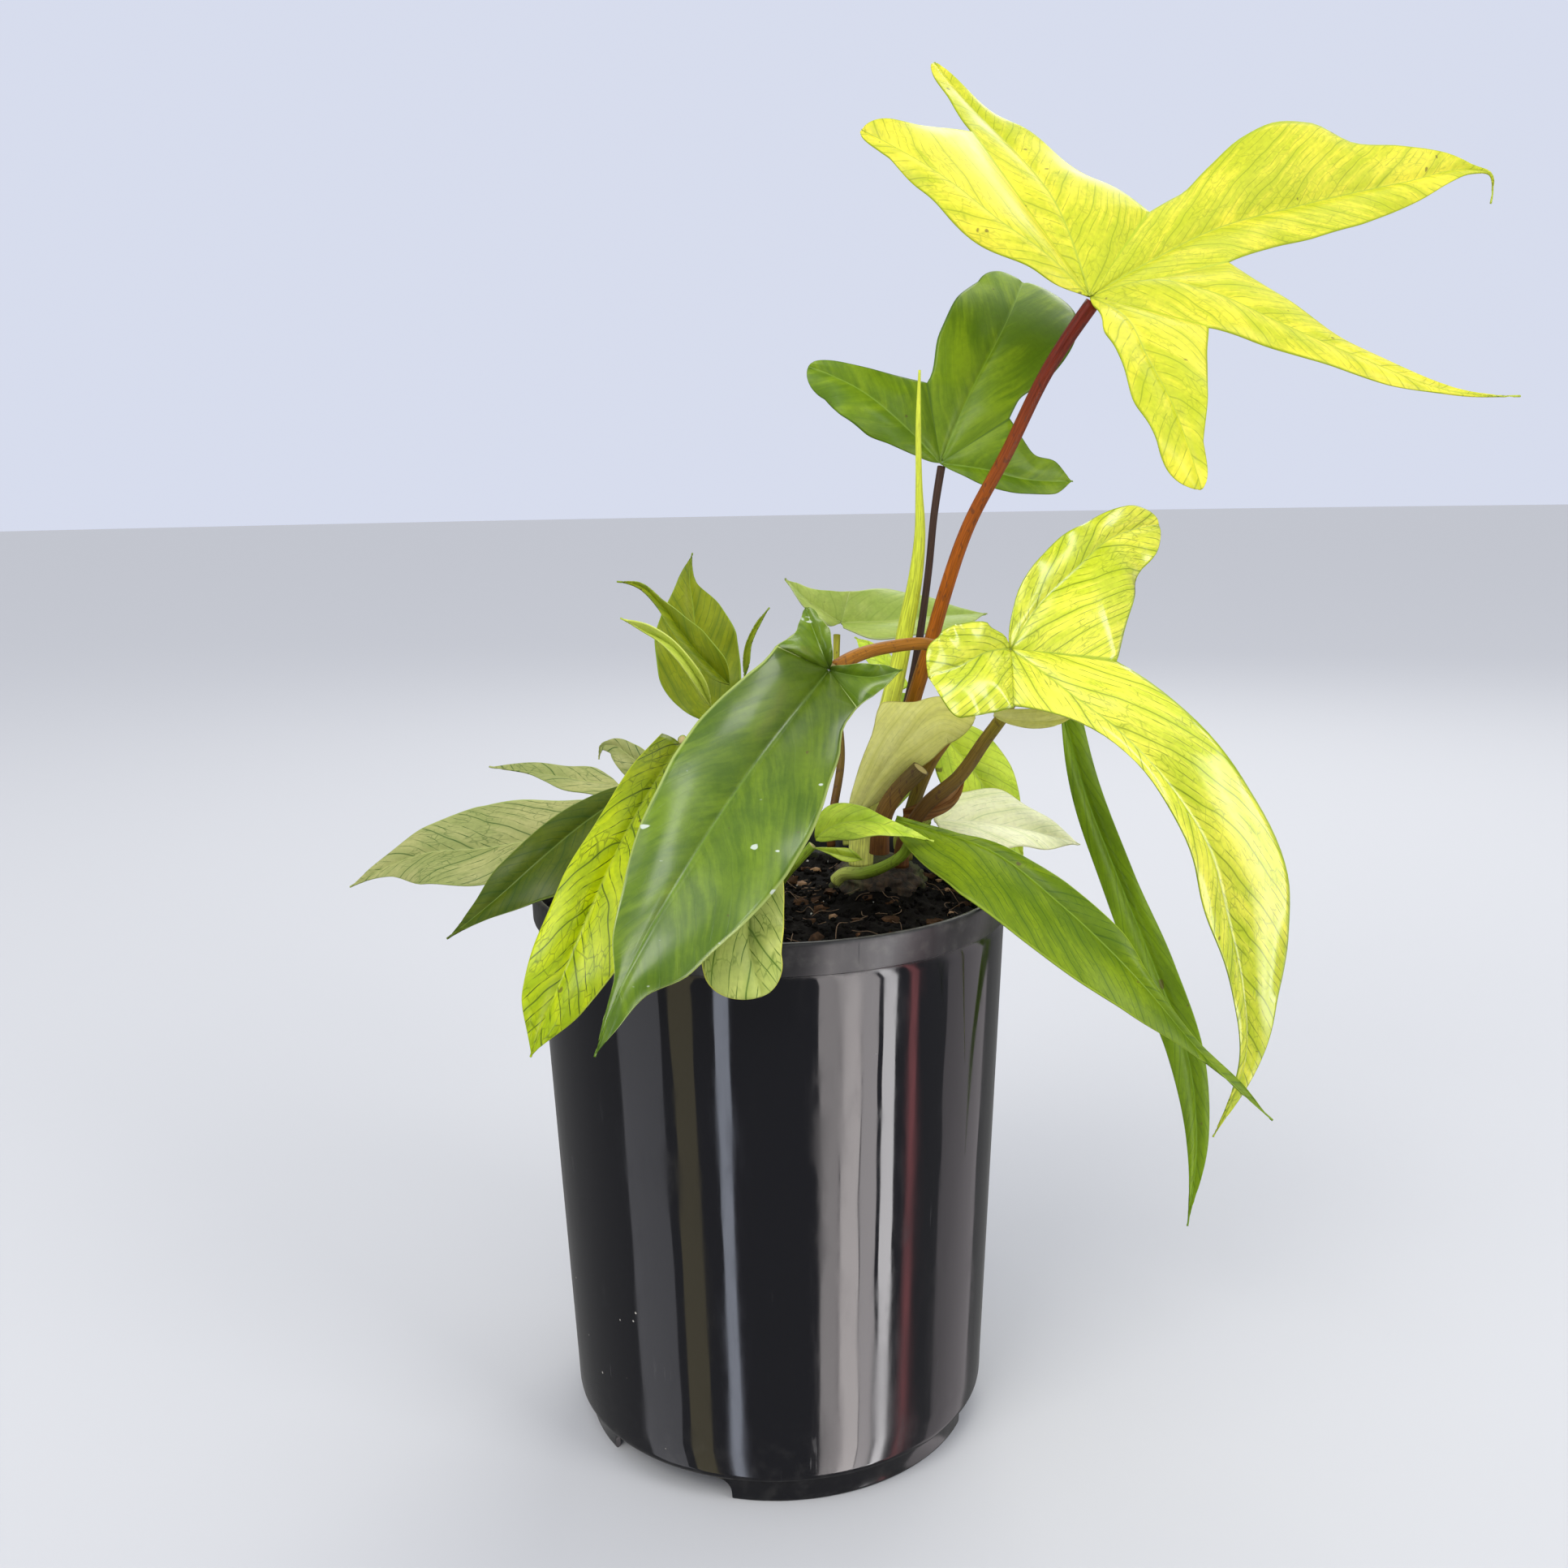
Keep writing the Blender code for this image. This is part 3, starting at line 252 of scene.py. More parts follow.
STEMS = {
    "top_stem": stem([(34, 21, 165.4), (34, 21, 169), (38, 19, 192), (44, 17, 215), (48, 15, 229),
             (52, 13, 244), (59, 8, 266), (69, 3, 286), (80, -1, 309), (91, -3.6, 325.5)],
        2.4, 2.0),
    "green_stem": stem([(29, 28, 165.4), (29, 28, 169), (44, 30, 215), (48, 32, 238), (50, 34, 252),
             (52, 36, 270), (54.3, 38.6, 283)],
        1.6, 1.2),
    "right_yellow_stem": stem([(39, 5, 165.4), (39, 5, 169), (46, 4, 184), (56, 3, 193), (63, 0, 204),
             (68, -5, 213), (70, -12, 222), (67.6, -19, 231.3)],
        2.3, 2.0),
    "front_stem": stem([(41, 14, 165.4), (41, 14, 169), (48, 15, 194), (57, 12, 210), (58, 7, 221),
             (54, 0, 229), (46, -6, 233), (34, -12, 233), (23, -22, 231), (18.4, -26.5, 228.9)],
        2.2, 1.8),
    "strap_stem": stem([(44, 21, 165.4), (44, 21, 169), (53, 21, 182), (64, 24, 196), (73, 28, 207),
             (80, 32, 215), (86, 33, 215), (89.9, 31, 210.4)],
        1.5, 1.2),
    "back_small_stem": stem([(24, 35, 165.4), (24, 35, 169), (41, 37, 199), (42.7, 40, 213.1)],
        1.2, 1.0),
    "right_back_stem": stem([(34, 34, 165.4), (34, 34, 169), (47, 42, 185), (52.7, 47, 196.4)],
        1.4, 1.2),
    "right_white_stem": stem([(40, 29, 165.4), (40, 29, 169), (45, 31, 172), (50.3, 33, 173.2)],
        1.4, 1.2),
    "back_pale_stem": stem([(19, 33, 165.4), (19, 33, 169), (23, 46, 193), (22, 54, 213),
             (22.5, 59, 230.2)],
        1.4, 1.1),
    "back_left_stem": stem([(-14, 24, 165.4), (-14, 24, 169), (-14, 26, 189), (-15.4, 30, 204.8)],
        1.4, 1.2),
    "diagonal_stem": stem([(-8, 14, 165.4), (-8, 14, 169), (-8, 10, 199), (-10.1, 6, 219.5)],
        1.3, 1.2),
    "furled_stem": stem([(-16, 9, 165.4), (-16, 9, 169), (-13, 0, 199), (-15.4, -5, 214.7)],
        1.2, 1.1),
    "thin_tip_stem": stem([(-5, 22, 165.4), (-5, 22, 169), (-6, 20, 198), (-7.3, 22, 219.8)],
        1.2, 1.0),
    "left_long_stem": stem([(-20, 19, 165.4), (-20, 19, 169), (-35, 19, 179), (-48, 18, 178.5)],
        1.4, 1.2),
    "left_edge_stem": stem([(-21, 26, 165.4), (-21, 26, 169), (-32, 34, 184), (-46.7, 39.5, 184.9)],
        1.3, 1.1),
    "left_hooked_stem": stem([(-17, 31, 165.4), (-17, 31, 169), (-27, 42, 181), (-38.4, 49.5, 186.3)],
        1.2, 1.0),
    "left_dark_stem": stem([(-21, 12, 165.4), (-21, 12, 169), (-26, 2, 191), (-35.8, 1, 194)],
        1.4, 1.2),
    "left_yellow_stem": stem([(-13, 3, 165.4), (-13, 3, 169), (-16, -2, 185), (-20, -12, 203),
             (-23.9, -18, 208.9)],
        1.6, 1.3),
    "rim_pale_stem": stem([(-6, 1, 165.4), (-6, 1, 169), (-4, -22, 187), (-1, -38, 190),
             (-1.2, -45, 185.8)],
        1.4, 1.2),
    "right_front_stem": stem([(19, -3, 163.4), (21, -4, 165.5), (27, -8, 167), (33, -13, 170.3),
             (38, -16.5, 174.7), (39.5, -18.2, 178)], 1.9, 1.6),
    "small_pale_stem": stem(
        [(0, -6, 155.4), (0, -7, 159), (3, -12, 166), (8, -17, 173), (12.2, -18.2, 178)],
        1.5, 1.2),
    "cut_stub": stem([(32, -4.2, 172), (33.5, -4.6, 184), (43.8, -7.5, 197.5)],
        2.7, 2.7),
}

SPIKE = {
    "points": [(27, 9, 165.4), (27.5, 9, 176), (29, 8.5, 186), (33, 9, 201), (36.6, 10, 216),
               (39.2, 11, 227), (41.4, 12, 238), (43.6, 12, 249), (45.2, 12, 263),
               (45, 12, 277), (44.8, 12, 295), (45.2, 12, 309.7)],
    "radii": (4, 4, 3.8, 3.4, 2.8, 2.6, 2.2, 1.6, 1, 0.8, 0.4),
}

# How each blade looks: its finish, the height of the waves at its edge, their number and their seed.
BLADES = {
    "top_leaf": ("sunlit_yellow", 1.2, 3.0, 1.0),
    "right_yellow_leaf": ("veined_yellow", 1.0, 4.0, 2.0),
    "folded_lobe": ("sheath_cream", 0.4, 2.0, 3.0),
    "green_lobed_leaf": ("deep_green", 0.8, 2.5, 4.0),
    "front_leaf": ("glossy_green", 0.9, 3.0, 5.0),
    "strap_leaf": ("strap_green", 0.5, 3.0, 6.0),
    "right_front_leaf": ("mid_green", 0.7, 3.0, 7.0),
    "small_pale_leaf": ("lit_back_green", 0.5, 2.5, 8.0),
    "back_pale_leaf": ("back_green", 0.6, 2.0, 9.0),
    "back_left_leaf": ("fresh_green", 0.8, 3.0, 10.0),
    "diagonal_leaf": ("fresh_green", 0.4, 2.0, 11.0),
    "furled_leaf": ("furled_lime", 0.3, 2.0, 12.0),
    "thin_tip_leaf": ("fresh_green", 0.2, 2.0, 13.0),
    "left_long_leaf": ("grey_green", 0.8, 3.0, 14.0),
    "left_edge_leaf": ("grey_green", 0.5, 2.5, 15.0),
    "left_hooked_leaf": ("grey_green", 0.4, 2.0, 16.0),
    "left_dark_leaf": ("shade_green", 0.6, 2.5, 17.0),
    "left_yellow_leaf": ("lime_veined", 0.8, 3.0, 18.0),
    "rim_pale_leaf": ("pale_veined", 0.7, 2.5, 19.0),
    "right_back_leaf": ("lit_back_green", 0.8, 2.5, 20.0),
    "right_white_leaf": ("cream_green", 0.8, 2.5, 21.0),
    "back_small_leaf": ("lit_back_green", 0.4, 2.0, 22.0),
}
SHEATHS = {
    "spike_sheath": ("sheath_cream", 0.4, 1.5, 30.0),
    "torn_sheath": ("sheath_brown", 0.6, 4.0, 31.0),
    "low_sheath": ("lit_back_green", 0.3, 2.0, 32.0),
}


def leaf_finish(blade, patch, vein, rib, edge, spacing, slant, veins, patches, roughness, glow,
                ribbed=0.5, wax=0.05, **marks):
    """Linear colours of a blade, its patches, veins, midrib and edge, and how strongly they show.

    Veins lie spacing centimetres apart and run slant centimetres along for each one across. Glow is
    the share of light let through. The marks are foot, the brightness left at the blade's foot, and
    scuffs, how strongly pale flecks show, partly scratches and partly painted glints of light.
    """
    return {"blade": blade, "patch": patch, "vein": vein, "rib": rib, "edge": edge, "spacing": spacing,
            "slant": slant, "veins": veins, "patches": patches, "roughness": roughness, "glow": glow,
            "ribbed": ribbed, "wax": wax, **marks}


FINISHES = {
    "sunlit_yellow": leaf_finish(
        blade=(0.94, 0.86, 0.06), patch=(0.55, 0.63, 0.015), vein=(0.12, 0.22, 0.005),
        rib=(0.5, 0.6, 0.05), edge=(0.5, 0.62, 0.02), spacing=0.28, slant=1.3, veins=0.5, patches=0.75,
        roughness=0.42, glow=0.25, ribbed=0.8, wax=0.15),
    "veined_yellow": leaf_finish(
        blade=(1, 0.98, 0.099), patch=(0.55, 0.68, 0.013), vein=(0.06, 0.15, 0.004),
        rib=(0.42, 0.56, 0.06), edge=(0.36, 0.5, 0.02), spacing=0.22, slant=2.2, veins=0.7,
        patches=0.7, roughness=0.2, glow=0.25, ribbed=0.6, wax=0.8),
    # The scuffs of glossy_green paint pale flecks on the blade: partly scratches, partly painted glints of
    # light.
    "glossy_green": leaf_finish(
        blade=(0.16, 0.26, 0.006), patch=(0.06, 0.13, 0.003), vein=(0.039, 0.11, 0.0018),
        rib=(0.17, 0.32, 0.012), edge=(0.46, 0.56, 0.14), spacing=0.5, slant=1.4, veins=0.15,
        patches=0.8, roughness=0.36, glow=0.12, ribbed=0.4, wax=0.5, foot=0.6, scuffs=0.8),
    "deep_green": leaf_finish(
        blade=(0.27, 0.41, 0.013), patch=(0.11, 0.22, 0.008), vein=(0.09, 0.2, 0.0066),
        rib=(0.3, 0.48, 0.055), edge=(0.1, 0.2, 0.02), spacing=0.3, slant=1.3, veins=0.2, patches=0.8,
        roughness=0.42, glow=0.22, ribbed=0.6, wax=0.12),
    "shade_green": leaf_finish(
        blade=(0.085, 0.12, 0.002), patch=(0.043, 0.084, 0.002), vein=(0.02, 0.06, 0.003),
        rib=(0.18, 0.26, 0.04), edge=(0.24, 0.32, 0.06), spacing=0.22, slant=1.8, veins=0.6,
        patches=0.9, roughness=0.42, glow=0.14),
    "mid_green": leaf_finish(
        blade=(0.21, 0.31, 0.0006), patch=(0.098, 0.18, 0.0004), vein=(0.03, 0.09, 0.002),
        rib=(0.26, 0.4, 0.03), edge=(0.4, 0.54, 0.05), spacing=0.2, slant=2.0, veins=0.6, patches=0.8,
        roughness=0.42, glow=0.2, ribbed=0.6),
    "strap_green": leaf_finish(
        blade=(0.12, 0.21, 0.0003), patch=(0.19, 0.31, 0.0006), vein=(0.03, 0.09, 0.001),
        rib=(0.16, 0.3, 0.01), edge=(0.26, 0.4, 0.02), spacing=0.18, slant=3.5, veins=0.45,
        patches=0.8, roughness=0.4, glow=0.2),
    "fresh_green": leaf_finish(
        blade=(0.29, 0.34, 0.006), patch=(0.15, 0.21, 0.0036), vein=(0.06, 0.15, 0.006),
        rib=(0.32, 0.46, 0.05), edge=(0.36, 0.5, 0.05), spacing=0.2, slant=2.0, veins=0.55,
        patches=0.8, roughness=0.45, glow=0.25),
    "grey_green": leaf_finish(
        blade=(0.47, 0.47, 0.17), patch=(0.3, 0.35, 0.1), vein=(0.06, 0.13, 0.02),
        rib=(0.5, 0.56, 0.18), edge=(0.46, 0.54, 0.16), spacing=0.26, slant=2.0, veins=1.0,
        patches=0.8, roughness=0.5, glow=0.22),
    "lit_back_green": leaf_finish(
        blade=(0.76, 0.91, 0.08), patch=(0.46, 0.67, 0.04), vein=(0.12, 0.24, 0.01),
        rib=(0.5, 0.64, 0.1), edge=(0.56, 0.66, 0.12), spacing=0.3, slant=1.8, veins=0.45, patches=0.8,
        roughness=0.42, glow=0.25, wax=0.1),
    "back_green": leaf_finish(
        blade=(0.5, 0.6, 0.14), patch=(0.36, 0.49, 0.09), vein=(0.2, 0.32, 0.05),
        rib=(0.6, 0.68, 0.25), edge=(0.6, 0.68, 0.3), spacing=0.3, slant=1.6, veins=0.35, patches=0.8,
        roughness=0.45, glow=0.25),
    "pale_veined": leaf_finish(
        blade=(0.62, 0.67, 0.17), patch=(0.32, 0.42, 0.07), vein=(0.08, 0.17, 0.01),
        rib=(0.5, 0.58, 0.14), edge=(0.78, 0.76, 0.1), spacing=0.26, slant=1.7, veins=1.0, patches=0.5,
        roughness=0.45, glow=0.22),
    "lime_veined": leaf_finish(
        blade=(0.66, 0.76, 0.002), patch=(0.34, 0.48, 0.001), vein=(0.05, 0.1, 0.002),
        rib=(0.5, 0.62, 0.02), edge=(0.56, 0.66, 0.03), spacing=0.26, slant=1.7, veins=1.0,
        patches=0.85, roughness=0.36, glow=0.24, ribbed=0.35, wax=0.2, foot=0.5),
    "cream_green": leaf_finish(
        blade=(1.0, 1.0, 0.72), patch=(0.82, 0.87, 0.46), vein=(0.3, 0.44, 0.12),
        rib=(0.88, 0.9, 0.66), edge=(0.8, 0.8, 0.5), spacing=0.24, slant=1.7, veins=0.4, patches=0.7,
        roughness=0.5, glow=0.28),
    "furled_lime": leaf_finish(
        blade=(0.7, 0.76, 0.12), patch=(0.46, 0.58, 0.06), vein=(0.26, 0.4, 0.02),
        rib=(0.36, 0.5, 0.04), edge=(0.66, 0.74, 0.14), spacing=0.2, slant=3.0, veins=0.3, patches=0.6,
        roughness=0.45, glow=0.22, ribbed=0.4),
    "sheath_cream": leaf_finish(
        blade=(0.86, 0.84, 0.3), patch=(0.72, 0.7, 0.16), vein=(0.5, 0.52, 0.08), rib=(0.7, 0.7, 0.2),
        edge=(0.5, 0.46, 0.12), spacing=0.14, slant=6.0, veins=0.35, patches=0.7, roughness=0.5,
        glow=0.22, ribbed=0.2),
    "sheath_brown": leaf_finish(
        blade=(0.34, 0.13, 0.03), patch=(0.46, 0.26, 0.09), vein=(0.05, 0.02, 0.01),
        rib=(0.2, 0.09, 0.03), edge=(0.1, 0.04, 0.02), spacing=0.1, slant=9.0, veins=0.6, patches=0.9,
        roughness=0.75, glow=0.12, ribbed=0.3),
}

# Stalk finishes: colour at the foot, in the middle and at the top, and how strongly it is flecked.
STALK_FINISHES = {
    "red_brown": {"foot": (0.34, 0.2, 0.02), "middle": (0.4, 0.1, 0.004), "top": (0.16, 0.016, 0.006),
                  "fleck": 0.5},
    "dark_purple": {"foot": (0.1, 0.08, 0.02), "middle": (0.04, 0.02, 0.015), "top": (0.06, 0.03, 0.02),
                    "fleck": 0.3},
    "orange_brown": {"foot": (0.2, 0.17, 0.03), "middle": (0.3, 0.11, 0.006), "top": (0.34, 0.13, 0.01),
                     "fleck": 0.4},
    "olive_brown": {"foot": (0.13, 0.05, 0.012), "middle": (0.18, 0.11, 0.015), "top": (0.4, 0.38, 0.03),
                    "fleck": 0.5},
    "leaf_green": {"foot": (0.48, 0.52, 0.1), "middle": (0.3, 0.42, 0.03), "top": (0.3, 0.44, 0.03),
                   "fleck": 0.3},
    "spike_lime": {"foot": (0.72, 0.74, 0.16), "middle": (0.6, 0.66, 0.04), "top": (0.7, 0.76, 0.06),
                   "fleck": 0.15},
    "stub_brown": {"foot": (0.16, 0.06, 0.015), "middle": (0.2, 0.1, 0.02), "top": (0.12, 0.08, 0.02),
                   "fleck": 0.6},
}
STALKS = {"top_stem": "red_brown", "green_stem": "dark_purple", "front_stem": "orange_brown",
          "right_yellow_stem": "olive_brown", "cut_stub": "stub_brown", "back_pale_stem": "olive_brown"}

# Half the width of a fine vein, in centimetres.
VEIN_HALF = 0.021

# What the underside of every blade fades towards.
UNDERSIDE_TINT = (0.36, 0.46, 0.16)

# A turned or cut shape keeps edges sharper than this.
SHARP_EDGE = math.radians(40)

# Nursery pot: how far the collar stands out, floor, step above the foot, arches and drain holes.
COLLAR_OVERHANG = 1.4
FLOOR_TOP = 9.2
FOOT_STEP = 2.9
SKIRT_HEIGHT = 8.0
PAD_RADIUS = 20.0
ARCH_ANGLES = (236.0, 356.0, 116.0)
ARCH_WIDTH = 42.0
ARCH_HEIGHT = 6.4
ARCH_DISTANCE = 56.0
ARCH_CUT = 16.0
ARCH_CORNER = 4.0
DRAIN_RADIUS = 4.0
DRAIN_CIRCLE = 40.0
DRAIN_COUNT = 6
DRAIN_MIDDLE = 8.2
DRAIN_CUT = 6.0

# Heights in metres over which the wall turns into the duller collar and the dusty foot ends.
COLLAR_FADE = (0.1545, 0.1565)
FOOT_FADE = (0.004, 0.03)

# Soil and crowns. Only what lies above SOIL_CREST is ruffled. Pieces strewn on the soil are drawn in a
# square and kept within a circle, and SOIL_SEED sets their order.
SOIL_INNER_GAP = 0.4
SOIL_RIPPLE = 1.9
SOIL_SHOULDER = 152.0
SOIL_CREST = 153.5
SOIL_SEED = 7
SCATTER_SQUARE = 66.0
SCATTER_REACH = 65.4
CROWNS = {
    "crown_main": ((33, 18), (14.5, 16.5)),
    "crown_side": ((-13, 16), (11.5, 17.5)),
}
CROWN_FOOT = 148.0
CROWN_TOP = 166.0

# Stage, in metres. GLOSS_FADE is how bright the room looks to glossy pieces: it climbs from the third
# number to the fourth between the first two heights. The tall strips stand round the pot.
GLOSS_FADE = (-0.1, 0.8, 0.2, 0.4)
LAMP_AIM = Vector((0.04, 0.0, 0.22))
SUN_SPREAD = math.radians(50)
STRIP_LENGTH = 2.8
STRIP_DISTANCE = 1.8
STRIP_MIDDLE = -0.9


class PotSettings(bpy.types.PropertyGroup):
    """Sizes and colour of the nursery pot."""
    rim_radius: bpy.props.FloatProperty(
        name="Rim radius", description="Outer radius of the collar round the rim",
        default=round(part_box("pot")[1][0], 4), unit="LENGTH")
    height: bpy.props.FloatProperty(
        name="Height", description="Height of the rim above the table",
        default=round(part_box("pot")[1][2], 4), unit="LENGTH")
    wall: bpy.props.FloatProperty(
        name="Wall", description="Thickness of the pot's wall", default=0.0015, unit="LENGTH")
    foot_radius: bpy.props.FloatProperty(
        name="Foot radius", description="Outer radius of the wall just above the stepped foot",
        default=0.0624, unit="LENGTH")
    collar_height: bpy.props.FloatProperty(
        name="Collar height", description="Height of the collar round the rim", default=0.009,
        unit="LENGTH")
    turning_steps: bpy.props.IntProperty(
        name="Turning steps", description="Flat faces round the pot", default=160)
    colour: bpy.props.FloatVectorProperty(
        name="Plastic", description="Colour of the pot's plastic", size=3, subtype="COLOR",
        default=(0.006, 0.006, 0.008))


class SoilSettings(bpy.types.PropertyGroup):
    """Level, crumbs and colour of the potting mix."""
    level: bpy.props.FloatProperty(
        name="Level", description="Height of the soil above the table", default=0.155, unit="LENGTH")
    crumbs: bpy.props.IntProperty(
        name="Crumbs", description="Number of loose crumbs on the soil", default=1500)
    fibres: bpy.props.IntProperty(
        name="Fibres", description="Number of loose fibres on the soil", default=110)
    colour: bpy.props.FloatVectorProperty(
        name="Soil", description="Colour of the potting mix", size=3, subtype="COLOR",
        default=(0.005, 0.0038, 0.003))


class LeafSettings(bpy.types.PropertyGroup):
    """Thickness, fineness and sheen of the leaf blades."""
    thickness: bpy.props.FloatProperty(
        name="Thickness", description="Thickness of a leaf blade", default=0.0005, unit="LENGTH")
    rows: bpy.props.IntProperty(
        name="Rows", description="Mesh rows along each lobe of a blade", default=72)
    columns: bpy.props.IntProperty(
        name="Columns", description="Mesh columns on each side of a midrib", default=14)
    groove: bpy.props.FloatProperty(
        name="Groove", description="Depth of the groove along a midrib", default=0.0004, unit="LENGTH")
    wax: bpy.props.FloatProperty(
        name="Wax", description="How much of each leaf's waxy sheen shows", default=1.0, subtype="FACTOR",
        min=0, max=1)


class StalkSettings(bpy.types.PropertyGroup):
    """Fineness of the leaf stalks."""
    sides: bpy.props.IntProperty(
        name="Sides", description="Flat faces round a stalk", default=18)
    rows: bpy.props.IntProperty(
        name="Rows", description="Mesh rows along a stalk", default=90)


class StageSettings(bpy.types.PropertyGroup):
    """Floor, backdrop, lamps and camera."""
    floor_colour: bpy.props.FloatVectorProperty(
        name="Floor", description="Colour of the floor", size=3, subtype="COLOR",
        default=(0.52, 0.52, 0.52))
    sky_colour: bpy.props.FloatVectorProperty(
        name="Backdrop", description="Colour of the room behind the plant", size=3, subtype="COLOR",
        default=(0.68, 0.72, 0.85))
    camera_place: bpy.props.FloatVectorProperty(
        name="Camera", description="Where the camera stands", size=3, subtype="TRANSLATION",
        default=(0.00444, -0.42811, 0.27546))
    camera_pitch: bpy.props.FloatProperty(
        name="Pitch", description="How far the camera looks down", default=math.radians(11.0),
        subtype="ANGLE")
    camera_roll: bpy.props.FloatProperty(
        name="Roll", description="How far the camera leans", default=-0.0173, subtype="ANGLE")
    lens: bpy.props.FloatProperty(
        name="Lens", description="Focal length in millimetres", default=34.19)


GROUPS = {
    "plant_pot": PotSettings,
    "plant_soil": SoilSettings,
    "plant_leaf": LeafSettings,
    "plant_stalk": StalkSettings,
    "plant_stage": StageSettings,
}


# Tools shared by the operators.

def deselect():
    """Leave nothing selected, so that an operator acts only on what it adds."""
    if bpy.context.object and bpy.context.object.mode != "OBJECT":
        bpy.ops.object.mode_set(mode="OBJECT")
    bpy.ops.object.select_all(action="DESELECT")


def select_only(*obs):
    deselect()
    for ob in obs:
        ob.select_set(True)
    bpy.context.view_layer.objects.active = obs[0]


def apply_modifiers(ob):
    select_only(ob)
    for modifier in list(ob.modifiers):
        bpy.ops.object.modifier_apply(modifier=modifier.name)


def fuse(ob, distance=0.00002, outward=False):
    """Merge points that meet and, on a closed shell, turn its faces outward."""
    select_only(ob)
    bpy.ops.object.mode_set(mode="EDIT")
    bpy.ops.mesh.select_all(action="SELECT")
    bpy.ops.mesh.remove_doubles(threshold=distance)
    if outward:
        bpy.ops.mesh.normals_make_consistent(inside=False)
    bpy.ops.object.mode_set(mode="OBJECT")


def finish_piece(ob, name, material, nodes, smooth=True):
    """Name a piece, give it its finish and stand it in for its CAD nodes."""
    ob.name = name
    ob.data.name = name
    ob.data.materials.clear()
    ob.data.materials.append(material)
    ob.data.polygons.foreach_set("use_smooth", [smooth] * len(ob.data.polygons))
    ob.data.update()
    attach(ob, "root")
    if nodes:
        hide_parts(*nodes)
    return ob


def grid_piece(rows, columns, points):
    """A grid primitive whose corners are moved to points[row, column]."""
    deselect()
    bpy.ops.mesh.primitive_grid_add(x_subdivisions=rows, y_subdivisions=columns, size=1, calc_uvs=False)
    ob = bpy.context.active_object
    flat = np.empty(len(ob.data.vertices) * 3)
    ob.data.vertices.foreach_get("co", flat)
    flat = flat.reshape(-1, 3)
    row = np.rint((flat[:, 0] + 0.5) * rows).astype(int)
    column = np.rint((flat[:, 1] + 0.5) * columns).astype(int)
    ob.data.vertices.foreach_set("co", (points[row, column] * MM).ravel())
    return ob, row, column


def write_map(ob, name, values):
    """Write a UV map from one pair of numbers per vertex."""
    layer = ob.data.uv_layers.new(name=name)
    corners = np.empty(len(ob.data.loops), int)
    ob.data.loops.foreach_get("vertex_index", corners)
    layer.data.foreach_set("uv", np.asarray(values, float)[corners].ravel())


def curve(points, shares):
    """Smooth curve through the points, read at the given shares of its chord length."""
    points = np.asarray(points, float)
    steps = np.diff(points, axis=0)
    knots = np.concatenate([[0.0], np.cumsum(np.linalg.norm(steps, axis=1))])
    knots /= knots[-1]
    spans = np.diff(knots)[:, None]
    slopes = steps / spans
    tangents = np.empty_like(points)
    tangents[1:-1] = (slopes[:-1] * spans[1:] + slopes[1:] * spans[:-1]) / (spans[1:] + spans[:-1])
    tangents[0] = 1.5 * slopes[0] - 0.5 * tangents[1]
    tangents[-1] = 1.5 * slopes[-1] - 0.5 * tangents[-2]
    index = np.clip(np.searchsorted(knots, shares, side="right") - 1, 0, len(spans) - 1)
    span = spans[index]
    s = (shares - knots[index])[:, None] / span
    return ((2 * s**3 - 3 * s**2 + 1) * points[index] + (s**3 - 2 * s**2 + s) * span * tangents[index]
            + (3 * s**2 - 2 * s**3) * points[index + 1] + (s**3 - s**2) * span * tangents[index + 1])


def read_steps(stations, shares, blunt=False):
    """Smooth value read between equal steps, with no overshoot. A blunt tip is rounded off."""
    stations = np.asarray(stations, float)
    count = len(stations) - 1
    rises = np.diff(stations) * count
    slopes = np.zeros(count + 1)
    for i in range(1, count):
        if rises[i - 1] * rises[i] > 0:
            slopes[i] = 2 * rises[i - 1] * rises[i] / (rises[i - 1] + rises[i])
    slopes[0] = 1.6 * rises[0]
    slopes[-1] = 0.6 * rises[-1]
    index = np.clip((shares * count).astype(int), 0, count - 1)
    s = shares * count - index
    value = ((2 * s**3 - 3 * s**2 + 1) * stations[index] + (s**3 - 2 * s**2 + s) * slopes[index] / count
             + (3 * s**2 - 2 * s**3) * stations[index + 1] + (s**3 - s**2) * slopes[index + 1] / count)
    if blunt:
        value = np.where(index == count - 1, stations[-2] * np.sqrt(np.clip(1 - s**2, 0, 1)), value)
    return np.maximum(value, 0.0)


def unit(vectors):
    return vectors / np.maximum(np.linalg.norm(vectors, axis=-1, keepdims=True), 1e-9)


# Leaf blades.

def row_shares(spec, rows):
    """Place the mesh rows so that a notch falls on the same row in both lobes beside it."""
    marks = {0: 0.0, rows: 1.0}
    for notch in (spec["left_notch"], spec["right_notch"]):
        if notch:
            marks[max(1, round(notch[2] * rows))] = notch[1]
    at = sorted(marks)
    shares = np.interp(np.arange(rows + 1), at, [marks[i] for i in at])
    last = at[-2]
    left = 1 - np.arange(rows - last + 1) / (rows - last)
    shares[last:] = 1 - (1 - marks[last]) * left**1.4
    return shares


